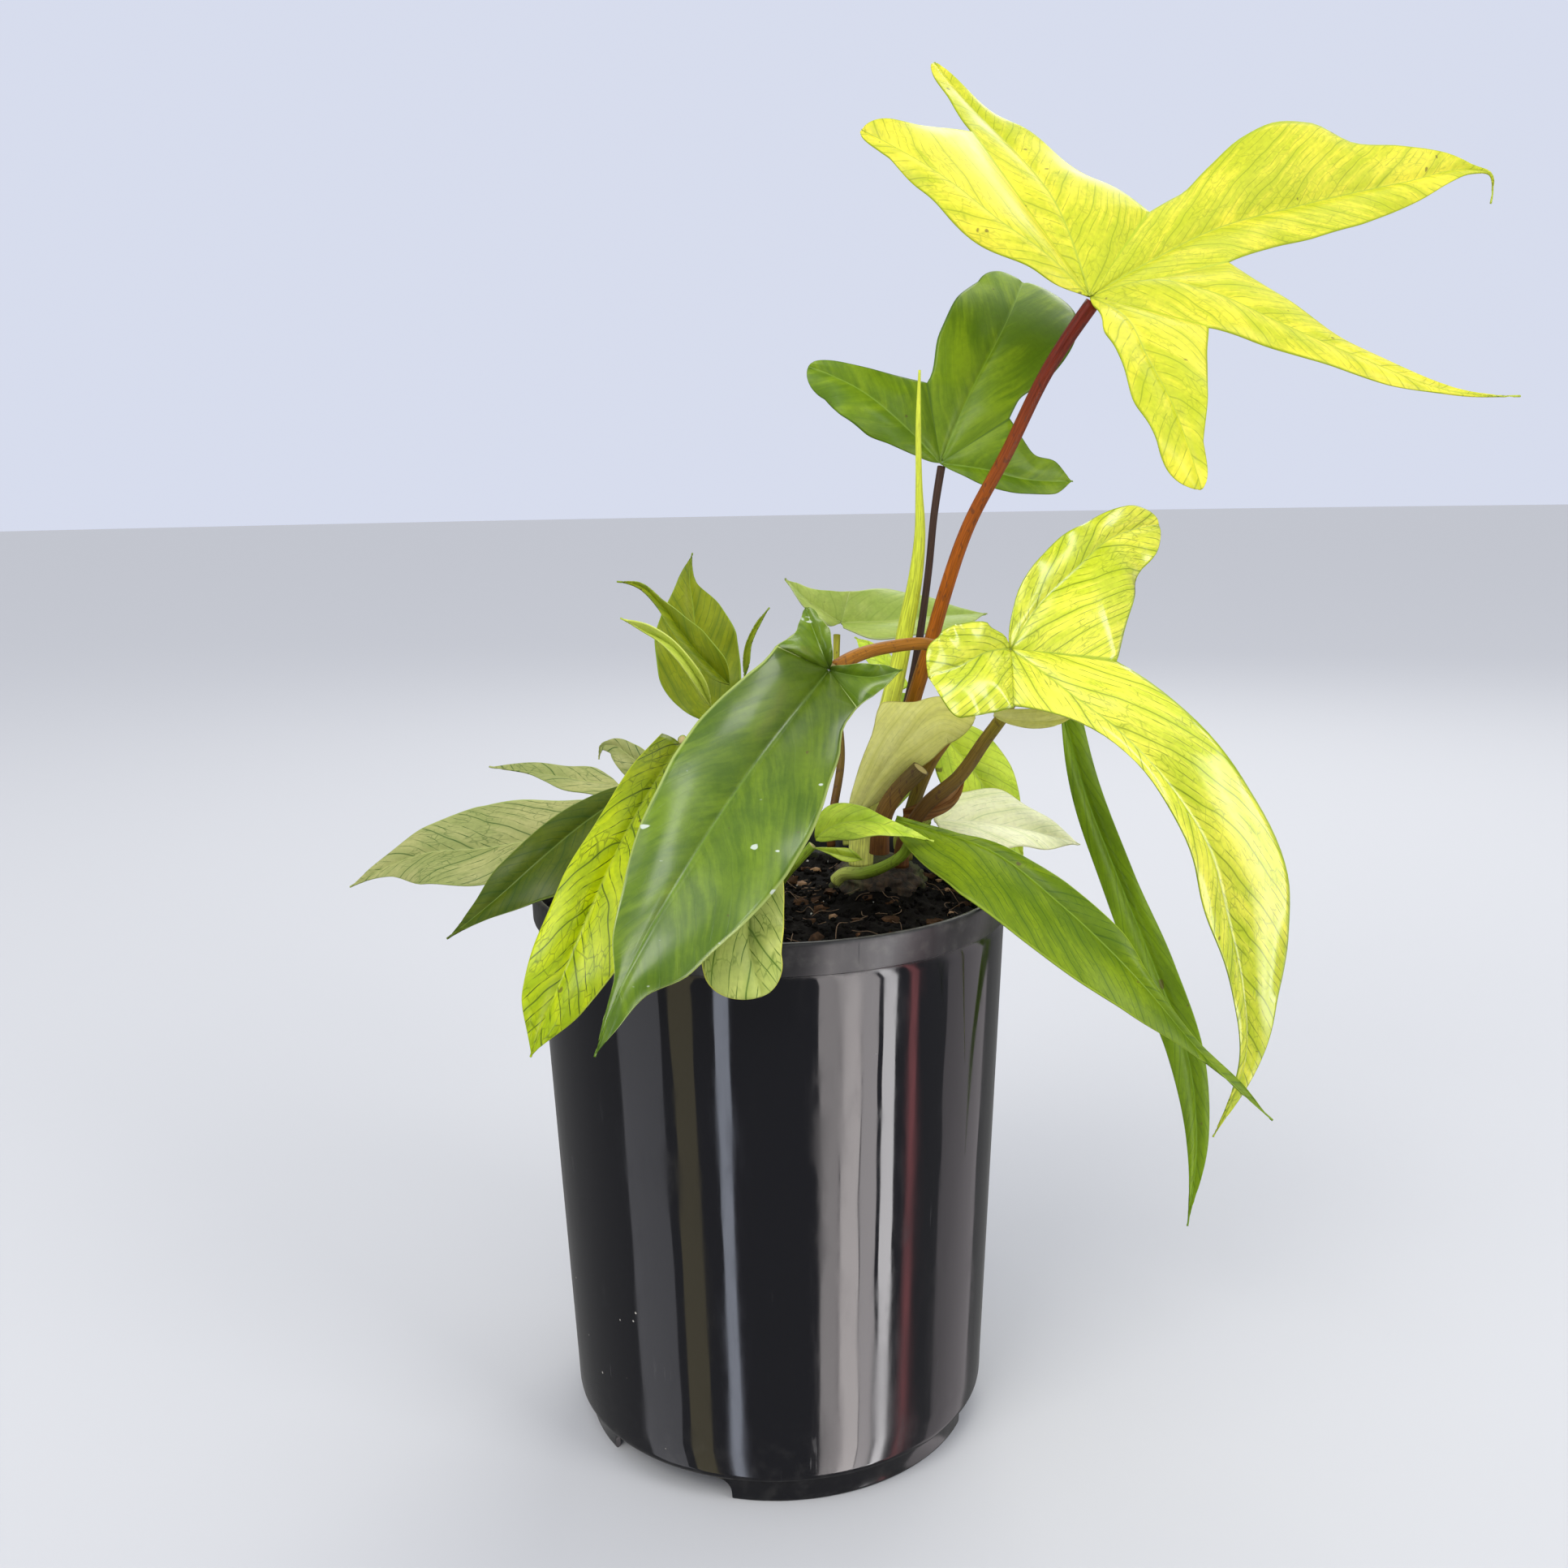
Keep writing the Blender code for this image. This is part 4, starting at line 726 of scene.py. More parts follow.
def lobe_surface(spec, rows, columns, wave, waves, phase, groove):
    """One lobe's points and its two maps: distances in centimetres and shares of the length and width."""
    shares = row_shares(spec, rows)
    rib = curve(spec["rib"], shares)
    length = np.concatenate([[0.0], np.cumsum(np.linalg.norm(np.diff(rib, axis=0), axis=1))])
    along = unit(np.gradient(rib, axis=0))
    face = np.asarray(spec["face"], float)
    normal = unit(face - (along @ face)[:, None] * along)
    side = np.cross(normal, along)
    folds = spec["fold"] if isinstance(spec["fold"], tuple) else (spec["fold"], spec["fold"])
    points = np.zeros((rows + 1, 2 * columns + 1, 3))
    distances = np.zeros((rows + 1, 2 * columns + 1, 2))
    parts = np.zeros((rows + 1, 2 * columns + 1, 2))
    points[:, columns] = rib - groove * normal * np.clip(6 * shares * (1 - shares), 0, 1)[:, None]
    distances[:, :, 0] = length[:, None] * CM
    parts[:, :, 0] = shares[:, None]
    sides = ((1, spec["left"], spec["left_notch"], folds[0]),
             (-1, spec["right"], spec["right_notch"], folds[1]))
    for sign, stations, notch, fold in sides:
        outward = sign * side * math.cos(fold) + normal * math.sin(fold)
        reach = read_steps(stations, shares, spec["blunt"])[:, None] * outward
        free = np.clip(shares / 0.12, 0, 1)
        if notch:
            bottom = np.asarray(notch[0], float)
            row = max(1, round(notch[2] * rows))
            missing = bottom - rib[row] - reach[row]
            fade = np.clip(1 - (shares - shares[row]) / (1 - shares[row]), 0, 1) ** spec["ease"]
            reach = reach + missing * fade[:, None]
            for i in range(row + 1):
                reach[i] = rib[0] + (bottom - rib[0]) * i / row - rib[i]
            free = np.clip((shares - shares[row]) / 0.15, 0, 1)
        width = np.linalg.norm(reach, axis=1, keepdims=True)
        ripple = (wave * free * np.clip(width[:, 0] / 8, 0, 1)
                  * np.sin(2 * math.pi * waves * shares + phase + sign))[:, None]
        for step in range(1, columns + 1):
            share = step / columns
            cup = 0.08 * math.sin(math.pi * share) * width
            dip = groove * np.exp(-((share * width) / 1.1) ** 2)
            column = columns + sign * step
            points[:, column] = rib + reach * share + (cup + ripple * share**2.5 - dip) * normal
            distances[:, column, 1] = sign * share * width[:, 0] * CM
            parts[:, column, 1] = share
    return points, distances, parts


def make_blade(name, shape, material):
    """A leaf blade: its lobes as grids, joined at their valleys and given a thickness."""
    settings = bpy.context.scene.plant_leaf
    _, wave, waves, seed = shape
    pieces = []
    for number, spec in enumerate(LEAVES[name]):
        points, distances, parts = lobe_surface(
            spec, settings.rows, settings.columns, wave, waves, seed * 2.4 + number, settings.groove / MM)
        piece, row, column = grid_piece(settings.rows, 2 * settings.columns, points)
        write_map(piece, "LeafMap", distances[row, column])
        write_map(piece, "LeafShare", parts[row, column])
        pieces.append(piece)
    select_only(*pieces)
    if len(pieces) > 1:
        bpy.ops.object.join()
    blade = pieces[0]
    fuse(blade, distance=0.00012)
    faces = len(blade.data.polygons)
    solidify = blade.modifiers.new("thickness", "SOLIDIFY")
    solidify.thickness = settings.thickness
    solidify.offset = 0
    apply_modifiers(blade)
    under = blade.data.attributes.new("underside", "FLOAT", "FACE")
    shift = blade.data.polygons[faces + 5].center - blade.data.polygons[5].center
    first_is_top = shift.dot(blade.data.polygons[5].normal) < 0
    sides = np.zeros(len(blade.data.polygons))
    if first_is_top:
        sides[faces:2 * faces] = 1.0
    else:
        sides[:faces] = 1.0
    under.data.foreach_set("value", sides)
    return finish_piece(blade, name, material, [name])


# Stalks and other rolled shapes.

def tube(points, radii, sides, rows, groove=0.0, tip_slant=0.0):
    """A closed tube along a curve, with its map: centimetres along it and the share round it."""
    inner = np.linspace(0, 1, rows - 1)
    centres = curve(points, inner)
    radius = read_steps(radii, inner) if len(radii) > 2 else np.interp(inner, (0, 1), radii)
    along = unit(np.gradient(centres, axis=0))
    across = np.zeros_like(along)
    start = np.array([1.0, 0.0, 0.0]) - along[0] * along[0][0]
    across[0] = unit(start)
    for i in range(1, len(along)):
        carried = across[i - 1] - along[i] * (across[i - 1] @ along[i])
        across[i] = unit(carried)
    other = np.cross(along, across)
    angle = np.linspace(0, 2 * math.pi, sides + 1)
    shape = 1.0 - groove * np.exp(-((angle - math.pi) / 0.5) ** 2)
    cosine, sine = np.cos(angle)[None, :, None], np.sin(angle)[None, :, None]
    ring = across[:, None, :] * cosine + other[:, None, :] * sine
    body = centres[:, None, :] + ring * (radius[:, None] * shape[None, :])[:, :, None]
    if tip_slant:
        body[-1] += along[-1] * (np.cos(angle) * tip_slant)[:, None]
    surface = np.concatenate([np.repeat(centres[:1, None], sides + 1, 1), body,
                              np.repeat(body[-1:, :sides].mean(axis=1, keepdims=True), sides + 1, 1)])
    ob, row, column = grid_piece(rows, sides, surface)
    length = np.concatenate([[0.0], np.cumsum(np.linalg.norm(np.diff(centres, axis=0), axis=1))])
    length = np.concatenate([[length[0]], length, [length[-1]]]) * CM
    share = np.concatenate([[0.0], inner, [1.0]])
    write_map(ob, "StalkMap", np.stack([length[row], column / sides], axis=1))
    write_map(ob, "StalkShare", np.stack([share[row], (row == rows).astype(float)], axis=1))
    fuse(ob, distance=0.000005, outward=True)
    return ob


# Materials.

class Shader:
    """Short hand for building one material's nodes."""

    def __init__(self, name):
        self.material = bpy.data.materials.new(name)
        self.material.use_nodes = True
        self.tree = self.material.node_tree
        self.surface = self.tree.nodes["Principled BSDF"]
        self.output = self.tree.nodes["Material Output"]

    def node(self, kind, **settings):
        made = self.tree.nodes.new(kind)
        for key, value in settings.items():
            setattr(made, key, value)
        return made

    def feed(self, socket, value):
        if isinstance(value, bpy.types.NodeSocket):
            self.tree.links.new(value, socket)
        elif isinstance(value, (tuple, list)) and len(value) == 3 and socket.type == "RGBA":
            socket.default_value = (*value, 1.0)
        else:
            socket.default_value = value

    def math(self, operation, first, second=0.0, third=0.0, clamp=False):
        made = self.node("ShaderNodeMath", operation=operation, use_clamp=clamp)
        for socket, value in zip(made.inputs, (first, second, third)):
            self.feed(socket, value)
        return made.outputs[0]

    def mix(self, share, first, second, blend="MIX"):
        made = self.node("ShaderNodeMix", data_type="RGBA", blend_type=blend)
        self.feed(made.inputs[0], share)
        self.feed(made.inputs[6], first)
        self.feed(made.inputs[7], second)
        return made.outputs[2]

    def shade(self, colour, tone):
        """The colour made darker or lighter by one tone."""
        return self.mix(1.0, colour, self.join(tone, tone, tone), "MULTIPLY")

    def ease(self, value, low, high, start=0.0, end=1.0):
        """value carried smoothly from start at low to end at high."""
        made = self.node("ShaderNodeMapRange", interpolation_type="SMOOTHSTEP")
        for socket, number in zip(made.inputs, (value, low, high, start, end)):
            self.feed(socket, number)
        return made.outputs[0]

    def uv(self, name):
        made = self.node("ShaderNodeUVMap", uv_map=name)
        split = self.node("ShaderNodeSeparateXYZ")
        self.feed(split.inputs[0], made.outputs[0])
        return split.outputs[0], split.outputs[1]

    def place(self, scale=(1.0, 1.0, 1.0), shift=(0.0, 0.0, 0.0)):
        """Object coordinates, stretched and shifted."""
        source = self.node("ShaderNodeTexCoord")
        made = self.node("ShaderNodeMapping")
        self.feed(made.inputs["Vector"], source.outputs["Object"])
        made.inputs["Scale"].default_value = scale
        made.inputs["Location"].default_value = shift
        return made.outputs[0]

    def join(self, x, y, z=0.0):
        made = self.node("ShaderNodeCombineXYZ")
        for socket, value in zip(made.inputs, (x, y, z)):
            self.feed(socket, value)
        return made.outputs[0]

    def noise(self, vector, scale, detail=3.0, roughness=0.55):
        made = self.node("ShaderNodeTexNoise")
        self.feed(made.inputs["Vector"], vector)
        made.inputs["Scale"].default_value = scale
        made.inputs["Detail"].default_value = detail
        made.inputs["Roughness"].default_value = roughness
        return made.outputs[0]

    def cells(self, vector, scale, feature="DISTANCE_TO_EDGE"):
        made = self.node("ShaderNodeTexVoronoi", feature=feature)
        self.feed(made.inputs["Vector"], vector)
        made.inputs["Scale"].default_value = scale
        return made.outputs["Distance"]

    def bump(self, height, strength, distance):
        made = self.node("ShaderNodeBump")
        made.inputs["Strength"].default_value = strength
        made.inputs["Distance"].default_value = distance
        self.feed(made.inputs["Height"], height)
        self.feed(self.surface.inputs["Normal"], made.outputs[0])
        return made.outputs[0]

    def glow(self, colour, share, normal):
        """Let some of the light that falls on the far side show through."""
        lit = self.node("ShaderNodeBsdfTranslucent")
        self.feed(lit.inputs["Color"], colour)
        self.feed(lit.inputs["Normal"], normal)
        both = self.node("ShaderNodeMixShader")
        both.inputs[0].default_value = share
        self.tree.links.new(self.surface.outputs[0], both.inputs[1])
        self.tree.links.new(lit.outputs[0], both.inputs[2])
        self.tree.links.new(both.outputs[0], self.output.inputs["Surface"])


def leaf_material(name, finish):
    """Veined leaf: veins sweep from the midrib to the tip, over patches of a second colour."""
    s = Shader(name)
    length, across = s.uv("LeafMap")
    share, width = s.uv("LeafShare")
    place = s.place()
    away = s.math("ABSOLUTE", across)
    drift = s.math("MULTIPLY_ADD", s.noise(place, 48.0, 2.0), 0.9, -0.45)
    slant = finish["slant"]
    sweep = s.math("MULTIPLY", away, s.math("MULTIPLY_ADD", away, 0.2 * slant, slant))
    run = s.math("SUBTRACT", s.math("ADD", length, drift), sweep)
    run = s.math("MULTIPLY", run, 1 / math.hypot(1, slant))
    other_side = s.math("MULTIPLY", s.math("GREATER_THAN", across, 0.0), finish["spacing"] * 1.5)
    phase = s.math("ADD", run, other_side)

    def lines(spacing, half):
        ping = s.math("PINGPONG", s.math("DIVIDE", phase, spacing), 0.5)
        return s.ease(ping, 0.25 * half / spacing, half / spacing, 1.0, 0.0)

    along_vein = s.math("MULTIPLY_ADD", away, math.hypot(1, slant), s.math("MULTIPLY", length, 0.4))
    fine = lines(finish["spacing"], VEIN_HALF)
    main = lines(finish["spacing"] * 4, VEIN_HALF * 1.6)
    broken = s.noise(s.join(s.math("MULTIPLY", phase, 6.0), along_vein), 1.6, 3.0)
    broken = s.ease(broken, 0.38, 0.6, 0.1, 1.0)
    veins = s.math("MAXIMUM", s.math("MULTIPLY", fine, broken), s.math("MULTIPLY", main, 0.8))
    net = s.join(s.math("DIVIDE", phase, finish["spacing"]), s.math("MULTIPLY", along_vein, 3.0))
    net = s.ease(s.cells(net, 1.0), 0.0, 0.07, 1.0, 0.0)
    net = s.math("MULTIPLY", net, s.ease(s.noise(place, 130.0, 2.0), 0.42, 0.6, 0.0, 0.55))
    veins = s.math("MAXIMUM", veins, net)
    streaks = s.join(s.math("MULTIPLY", phase, 2.6), s.math("MULTIPLY", along_vein, 0.35))
    streaks = s.noise(streaks, 1.5, 4.0)
    clouds = s.noise(place, 26.0, 3.0)
    patches = s.ease(s.math("MULTIPLY_ADD", clouds, 0.55, s.math("MULTIPLY", streaks, 0.45)), 0.41, 0.6,
                     0.0, finish["patches"])
    colour = s.mix(patches, finish["blade"], finish["patch"])
    speckle = s.ease(s.noise(place, 700.0, 2.0), 0.3, 0.7, 0.94, 1.05)
    colour = s.shade(colour, speckle)
    beside = lines(finish["spacing"] * 4, finish["spacing"] * 0.9)
    colour = s.mix(s.math("MULTIPLY", beside, 0.35), colour, finish["patch"])
    colour = s.mix(s.math("MULTIPLY", veins, finish["veins"]), colour, finish["vein"])
    half = s.math("MULTIPLY_ADD", share, -0.032, 0.048)
    rib = s.ease(away, s.math("MULTIPLY", half, 0.4), half, finish["ribbed"], 0.0)
    colour = s.mix(rib, colour, finish["rib"])
    if "foot" in finish:
        colour = s.shade(colour, s.ease(share, 0.0, 0.45, finish["foot"], 1.0))
    margin = s.ease(width, 0.955, 0.985, 0.0, 0.8)
    colour = s.mix(margin, colour, finish["edge"])
    freckles = s.ease(s.noise(s.place(shift=(3.1, 1.7, 0.4)), 260.0, 1.0), 0.76, 0.8, 0.0, 0.7)
    colour = s.mix(freckles, colour, (0.1, 0.06, 0.02))
    # Pale flecks laid over the colour: partly real scratches, partly painted glints of light.
    if "scuffs" in finish:
        pale_fleck_and_glint = s.noise(s.place(scale=(1.0, 1.0, 2.2), shift=(0.6, 0.3, 1.9)), 130.0, 2.0)
        colour = s.mix(s.ease(pale_fleck_and_glint, 0.72, 0.75, 0.0, finish["scuffs"]), colour, (0.7, 0.76, 0.66))
    under = s.node("ShaderNodeAttribute", attribute_name="underside").outputs["Fac"]
    pale = tuple(0.6 * part + 0.4 * light for part, light in zip(finish["blade"], UNDERSIDE_TINT))
    colour = s.mix(s.math("MULTIPLY", under, 0.6), colour, pale)
    s.feed(s.surface.inputs["Base Color"], colour)
    rough = finish["roughness"]
    gloss = s.ease(s.noise(place, 70.0, 3.0), 0.3, 0.7, rough - 0.06, rough + 0.08)
    gloss = s.math("MULTIPLY_ADD", under, 0.14, gloss)
    s.feed(s.surface.inputs["Roughness"], gloss)
    s.surface.inputs["Specular IOR Level"].default_value = 0.2 + 0.3 * finish["wax"]
    s.surface.inputs["Coat Weight"].default_value = finish["wax"] * bpy.context.scene.plant_leaf.wax
    s.surface.inputs["Coat Roughness"].default_value = 0.2
    height = s.math("MULTIPLY", veins, -0.5)
    height = s.math("MULTIPLY_ADD", beside, -0.35, height)
    height = s.math("MULTIPLY_ADD", s.noise(place, 240.0, 3.0), 0.5, height)
    normal = s.bump(height, 0.25, 0.0002)
    s.glow(s.mix(1.0, colour, (1.0, 0.95, 0.55), "MULTIPLY"), finish["glow"], normal)
    return s.material


def stalk_material(name, finish):
    """Smooth stalk, shaded along its length, with fine streaks and flecks."""
    s = Shader(name)
    length, turn = s.uv("StalkMap")
    share, cap = s.uv("StalkShare")
    streaks = s.join(s.math("MULTIPLY", length, 0.8), s.math("MULTIPLY", turn, 26.0))
    streaks = s.noise(streaks, 1.6, 3.0)
    low = s.mix(s.ease(share, 0.05, 0.5), finish["foot"], finish["middle"])
    colour = s.mix(s.ease(share, 0.5, 0.95), low, finish["top"])
    darker = s.ease(streaks, 0.3, 0.7, 0.65, 1.2)
    colour = s.shade(colour, darker)
    flecks = s.noise(s.place(scale=(1.0, 1.0, 0.35)), 900.0, 1.0)
    flecks = s.ease(flecks, 0.6, 0.68, 0.0, finish["fleck"])
    colour = s.mix(flecks, colour, (0.06, 0.025, 0.015))
    colour = s.mix(s.ease(cap, 0.12, 0.25), colour, (0.5, 0.4, 0.16))
    s.feed(s.surface.inputs["Base Color"], colour)
    s.surface.inputs["Specular IOR Level"].default_value = 0.2
    s.feed(s.surface.inputs["Roughness"], s.ease(streaks, 0.3, 0.7, 0.4, 0.55))
    s.bump(streaks, 0.3, 0.0003)
    return s.material


def pot_material():
    """Glossy moulded black plastic with a duller collar, fine dust, scuffs and specks."""
    s = Shader("black_moulded_plastic")
    place = s.place()
    split = s.node("ShaderNodeSeparateXYZ")
    s.feed(split.inputs[0], place)
    height = split.outputs[2]
    collar = s.ease(height, *COLLAR_FADE)
    foot = s.ease(height, *FOOT_FADE, 1.0, 0.0)
    cloud = s.noise(place, 28.0, 4.0)
    dust = s.math("MULTIPLY", s.ease(s.noise(place, 240.0, 4.0), 0.45, 0.75), 0.5)
    dusty = s.math("MULTIPLY_ADD", collar, 0.55, s.math("MULTIPLY", foot, 0.3), clamp=True)
    specks = s.ease(s.cells(place, 150.0, "F1"), 0.035, 0.06, 1.0, 0.0)
    rare = s.ease(s.noise(s.place(shift=(0.7, 0.2, 0.9)), 36.0, 2.0), 0.56, 0.62)
    specks = s.math("MULTIPLY", specks, rare)
    scuffs = s.ease(s.noise(s.place(scale=(1.0, 1.0, 0.08)), 520.0, 2.0), 0.66, 0.74)
    scuffs = s.math("MULTIPLY", scuffs, s.ease(cloud, 0.5, 0.62))
    plastic = tuple(bpy.context.scene.plant_pot.colour)
    colour = s.mix(s.math("MULTIPLY", dust, dusty), plastic, (0.1, 0.095, 0.085))
    colour = s.mix(s.math("MULTIPLY", scuffs, 0.25), colour, (0.1, 0.1, 0.1))
    colour = s.mix(specks, colour, (0.45, 0.42, 0.36))
    s.feed(s.surface.inputs["Base Color"], colour)
    wiped = s.noise(s.place(scale=(1.0, 1.0, 0.12), shift=(0.1, 0.4, 0.2)), 90.0, 5.0, 0.65)
    rough = s.math("ADD", s.ease(cloud, 0.3, 0.7, 0.03, 0.08), s.ease(wiped, 0.4, 0.62, 0.0, 0.09))
    rough = s.math("MULTIPLY_ADD", collar, 0.26, rough)
    haze = s.ease(s.noise(s.place(scale=(1.0, 1.0, 0.4), shift=(0.3, 0.9, 0.1)), 75.0, 5.0), 0.52, 0.7)
    rough = s.math("MULTIPLY_ADD", haze, 0.1, rough)
    rough = s.math("MULTIPLY_ADD", scuffs, 0.2, rough)
    rough = s.math("MULTIPLY_ADD", specks, 0.5, rough, clamp=True)
    s.feed(s.surface.inputs["Roughness"], rough)
    relief = s.math("MULTIPLY_ADD", s.noise(s.place(scale=(1.0, 1.0, 0.3)), 42.0, 2.0), 1.0,
                    s.math("MULTIPLY", specks, 0.2))
    s.bump(relief, 0.3, 0.0008)
    return s.material


def soil_material(name, colour, spread=0.6):
    """Dark crumbly potting mix. The spread is how much of its lighter grain shows."""
    s = Shader(name)
    place = s.place()
    grain = s.noise(place, 420.0, 5.0, 0.7)
    clumps = s.noise(place, 90.0, 3.0)
    light = tuple(min(1.0, part * 3.2 + 0.006) for part in colour)
    mixed = s.mix(s.math("MULTIPLY", s.ease(grain, 0.45, 0.8), spread), colour, light)
    dark = s.ease(clumps, 0.3, 0.6, 0.45, 1.1)
    mixed = s.shade(mixed, dark)
    s.feed(s.surface.inputs["Base Color"], mixed)
    s.surface.inputs["Roughness"].default_value = 0.95
    s.surface.inputs["Specular IOR Level"].default_value = 0.15
    s.bump(grain, 0.8, 0.0012)
    return s.material


def plain_material(name, colour, roughness):
    """One rough colour with a slight tone and grain."""
    s = Shader(name)
    place = s.place()
    tone = s.ease(s.noise(place, 300.0, 3.0), 0.3, 0.7, 0.75, 1.15)
    s.feed(s.surface.inputs["Base Color"], s.shade(colour, tone))
    s.surface.inputs["Roughness"].default_value = roughness
    s.bump(s.noise(place, 700.0, 3.0), 0.4, 0.0004)
    return s.material


# Pot, soil, stalks, blades and stage, one operator each.

def around(turn, distance, height=0.0):
    """A place in metres on a circle about Z, from lengths in millimetres."""
    return distance * MM * math.cos(turn), distance * MM * math.sin(turn), height * MM


def turned(profile, steps):
    """Spin a half section about Z. It runs down its outer side."""
    deselect()
    bpy.ops.mesh.primitive_plane_add(size=0.001)
    ob = bpy.context.active_object
    bpy.ops.object.mode_set(mode="EDIT")
    bpy.ops.mesh.merge(type="CENTER")
    radius, height = profile[0]
    bpy.ops.transform.translate(value=(radius * MM, 0, height * MM))
    for before, after in zip(profile, profile[1:]):
        step = ((after[0] - before[0]) * MM, 0, (after[1] - before[1]) * MM)
        bpy.ops.mesh.extrude_region_move(TRANSFORM_OT_translate={"value": step})
    bpy.ops.mesh.select_all(action="SELECT")
    bpy.ops.mesh.spin(steps=steps, angle=2 * math.pi, center=(0, 0, 0), axis=(0, 0, 1))
    bpy.ops.object.mode_set(mode="OBJECT")
    fuse(ob, distance=0.000005, outward=True)
    return ob


class PLANT_OT_pot(bpy.types.Operator):
    """Turn the nursery pot and cut its arches and drain holes."""
    bl_idname = "plant.make_pot"
    bl_label = "Make pot"

    def execute(self, context):
        sizes = context.scene.plant_pot
        rim, top = sizes.rim_radius / MM, sizes.height / MM
        foot, wall = sizes.foot_radius / MM, sizes.wall / MM
        collar = top - sizes.collar_height / MM
        shoulder = rim - COLLAR_OVERHANG
        skirt = foot - FOOT_STEP
        profile = [
            (0, 2), (PAD_RADIUS - 2, 2), (PAD_RADIUS - 0.5, 2.6), (PAD_RADIUS + 2, FLOOR_TOP - 0.5),
            (PAD_RADIUS + 3, FLOOR_TOP), (foot - wall - 2.5, FLOOR_TOP),
            (foot - wall - 0.8, FLOOR_TOP + 0.6), (foot - wall, FLOOR_TOP + 2),
            (shoulder - wall, collar - 1), (shoulder - wall + 0.6, collar),
            (rim - 2, collar + 2), (rim - 2, top - 0.9), (rim - 1.7, top - 0.3), (rim - 1.3, top),
            (rim - 0.8, top), (rim - 0.3, top - 0.2), (rim, top - 0.7), (rim, top - 1.5),
            (rim - 0.15, collar + 0.8), (rim - 0.3, collar + 0.25), (rim - 0.7, collar),
            (shoulder + 0.15, collar - 0.2), (shoulder, collar - 0.7), (shoulder - 0.1, collar - 3),
            (foot + 0.35, SKIRT_HEIGHT + 9), (foot + 0.1, SKIRT_HEIGHT + 2.2),
            (foot - 0.1, SKIRT_HEIGHT + 1), (foot - 0.5, SKIRT_HEIGHT + 0.3),
            (foot - 1.2, SKIRT_HEIGHT), (skirt + 0.4, SKIRT_HEIGHT - 0.3),
            (skirt, SKIRT_HEIGHT - 0.9), (skirt - 0.4, 1), (skirt - 0.6, 0.3), (skirt - 1, 0),
            (skirt - 1.8, 0), (skirt - 2.1, 0.3), (skirt - 2, 6.8), (skirt - 2.5, 7.2),
            (PAD_RADIUS + 4, 7.2), (PAD_RADIUS + 3, 6.7), (PAD_RADIUS + 0.4, 0.6),
            (PAD_RADIUS - 0.4, 0), (0, 0),
        ]
        pot = turned(profile, sizes.turning_steps)
        cutters = []
        for angle in ARCH_ANGLES:
            deselect()
            bpy.ops.mesh.primitive_cube_add(size=1)
            arch = context.active_object
            arch.scale = (ARCH_CUT * MM, ARCH_WIDTH * MM, 2 * ARCH_HEIGHT * MM)
            bpy.ops.object.transform_apply(location=False, rotation=False, scale=True)
            bevel = arch.modifiers.new("corners", "BEVEL")
            bevel.width = ARCH_CORNER * MM
            bevel.segments = 6
            apply_modifiers(arch)
            turn = math.radians(angle)
            arch.data.transform(Matrix.Rotation(turn, 4, "Z"))
            arch.data.transform(Matrix.Translation(around(turn, ARCH_DISTANCE)))
            cutters.append(arch)
        for number in range(DRAIN_COUNT):
            place = around(2 * math.pi * number / DRAIN_COUNT, DRAIN_CIRCLE, DRAIN_MIDDLE)
            deselect()
            bpy.ops.mesh.primitive_cylinder_add(
                vertices=32, radius=DRAIN_RADIUS * MM, depth=DRAIN_CUT * MM, location=place)
            cutters.append(context.active_object)
        for cutter in cutters:
            boolean = pot.modifiers.new("cut", "BOOLEAN")
            boolean.operation = "DIFFERENCE"
            boolean.solver = "EXACT"
            boolean.object = cutter
            apply_modifiers(pot)
            bpy.data.objects.remove(cutter, do_unlink=True)
        finish_piece(pot, "nursery_pot", pot_material(), ["pot"])
        select_only(pot)
        bpy.ops.object.shade_smooth_by_angle(angle=SHARP_EDGE)
        return {"FINISHED"}


def soil_height(x, y):
    """Height of the soil's uneven surface in mm, a little raised round the crowns."""
    level = bpy.context.scene.plant_soil.level / MM
    rise = 0.0
    for (cx, cy), (rx, ry) in CROWNS.values():
        away = math.hypot((x - cx) / (rx + 10), (y - cy) / (ry + 10))
        rise = max(rise, 5.5 * max(0.0, 1 - away) ** 0.7)
    edge = max(0.0, (math.hypot(x, y) - 60) / 8)
    small = noise.noise(Vector((x / 5, y / 5, 0.3))) * SOIL_RIPPLE
    fine = noise.noise(Vector((x / 1.7, y / 1.7, 4.3))) * 0.8
    large = noise.noise(Vector((x / 22, y / 22, 9.1))) * 2.2
    return level + rise + small + fine + large - 1.5 * edge - 1.0


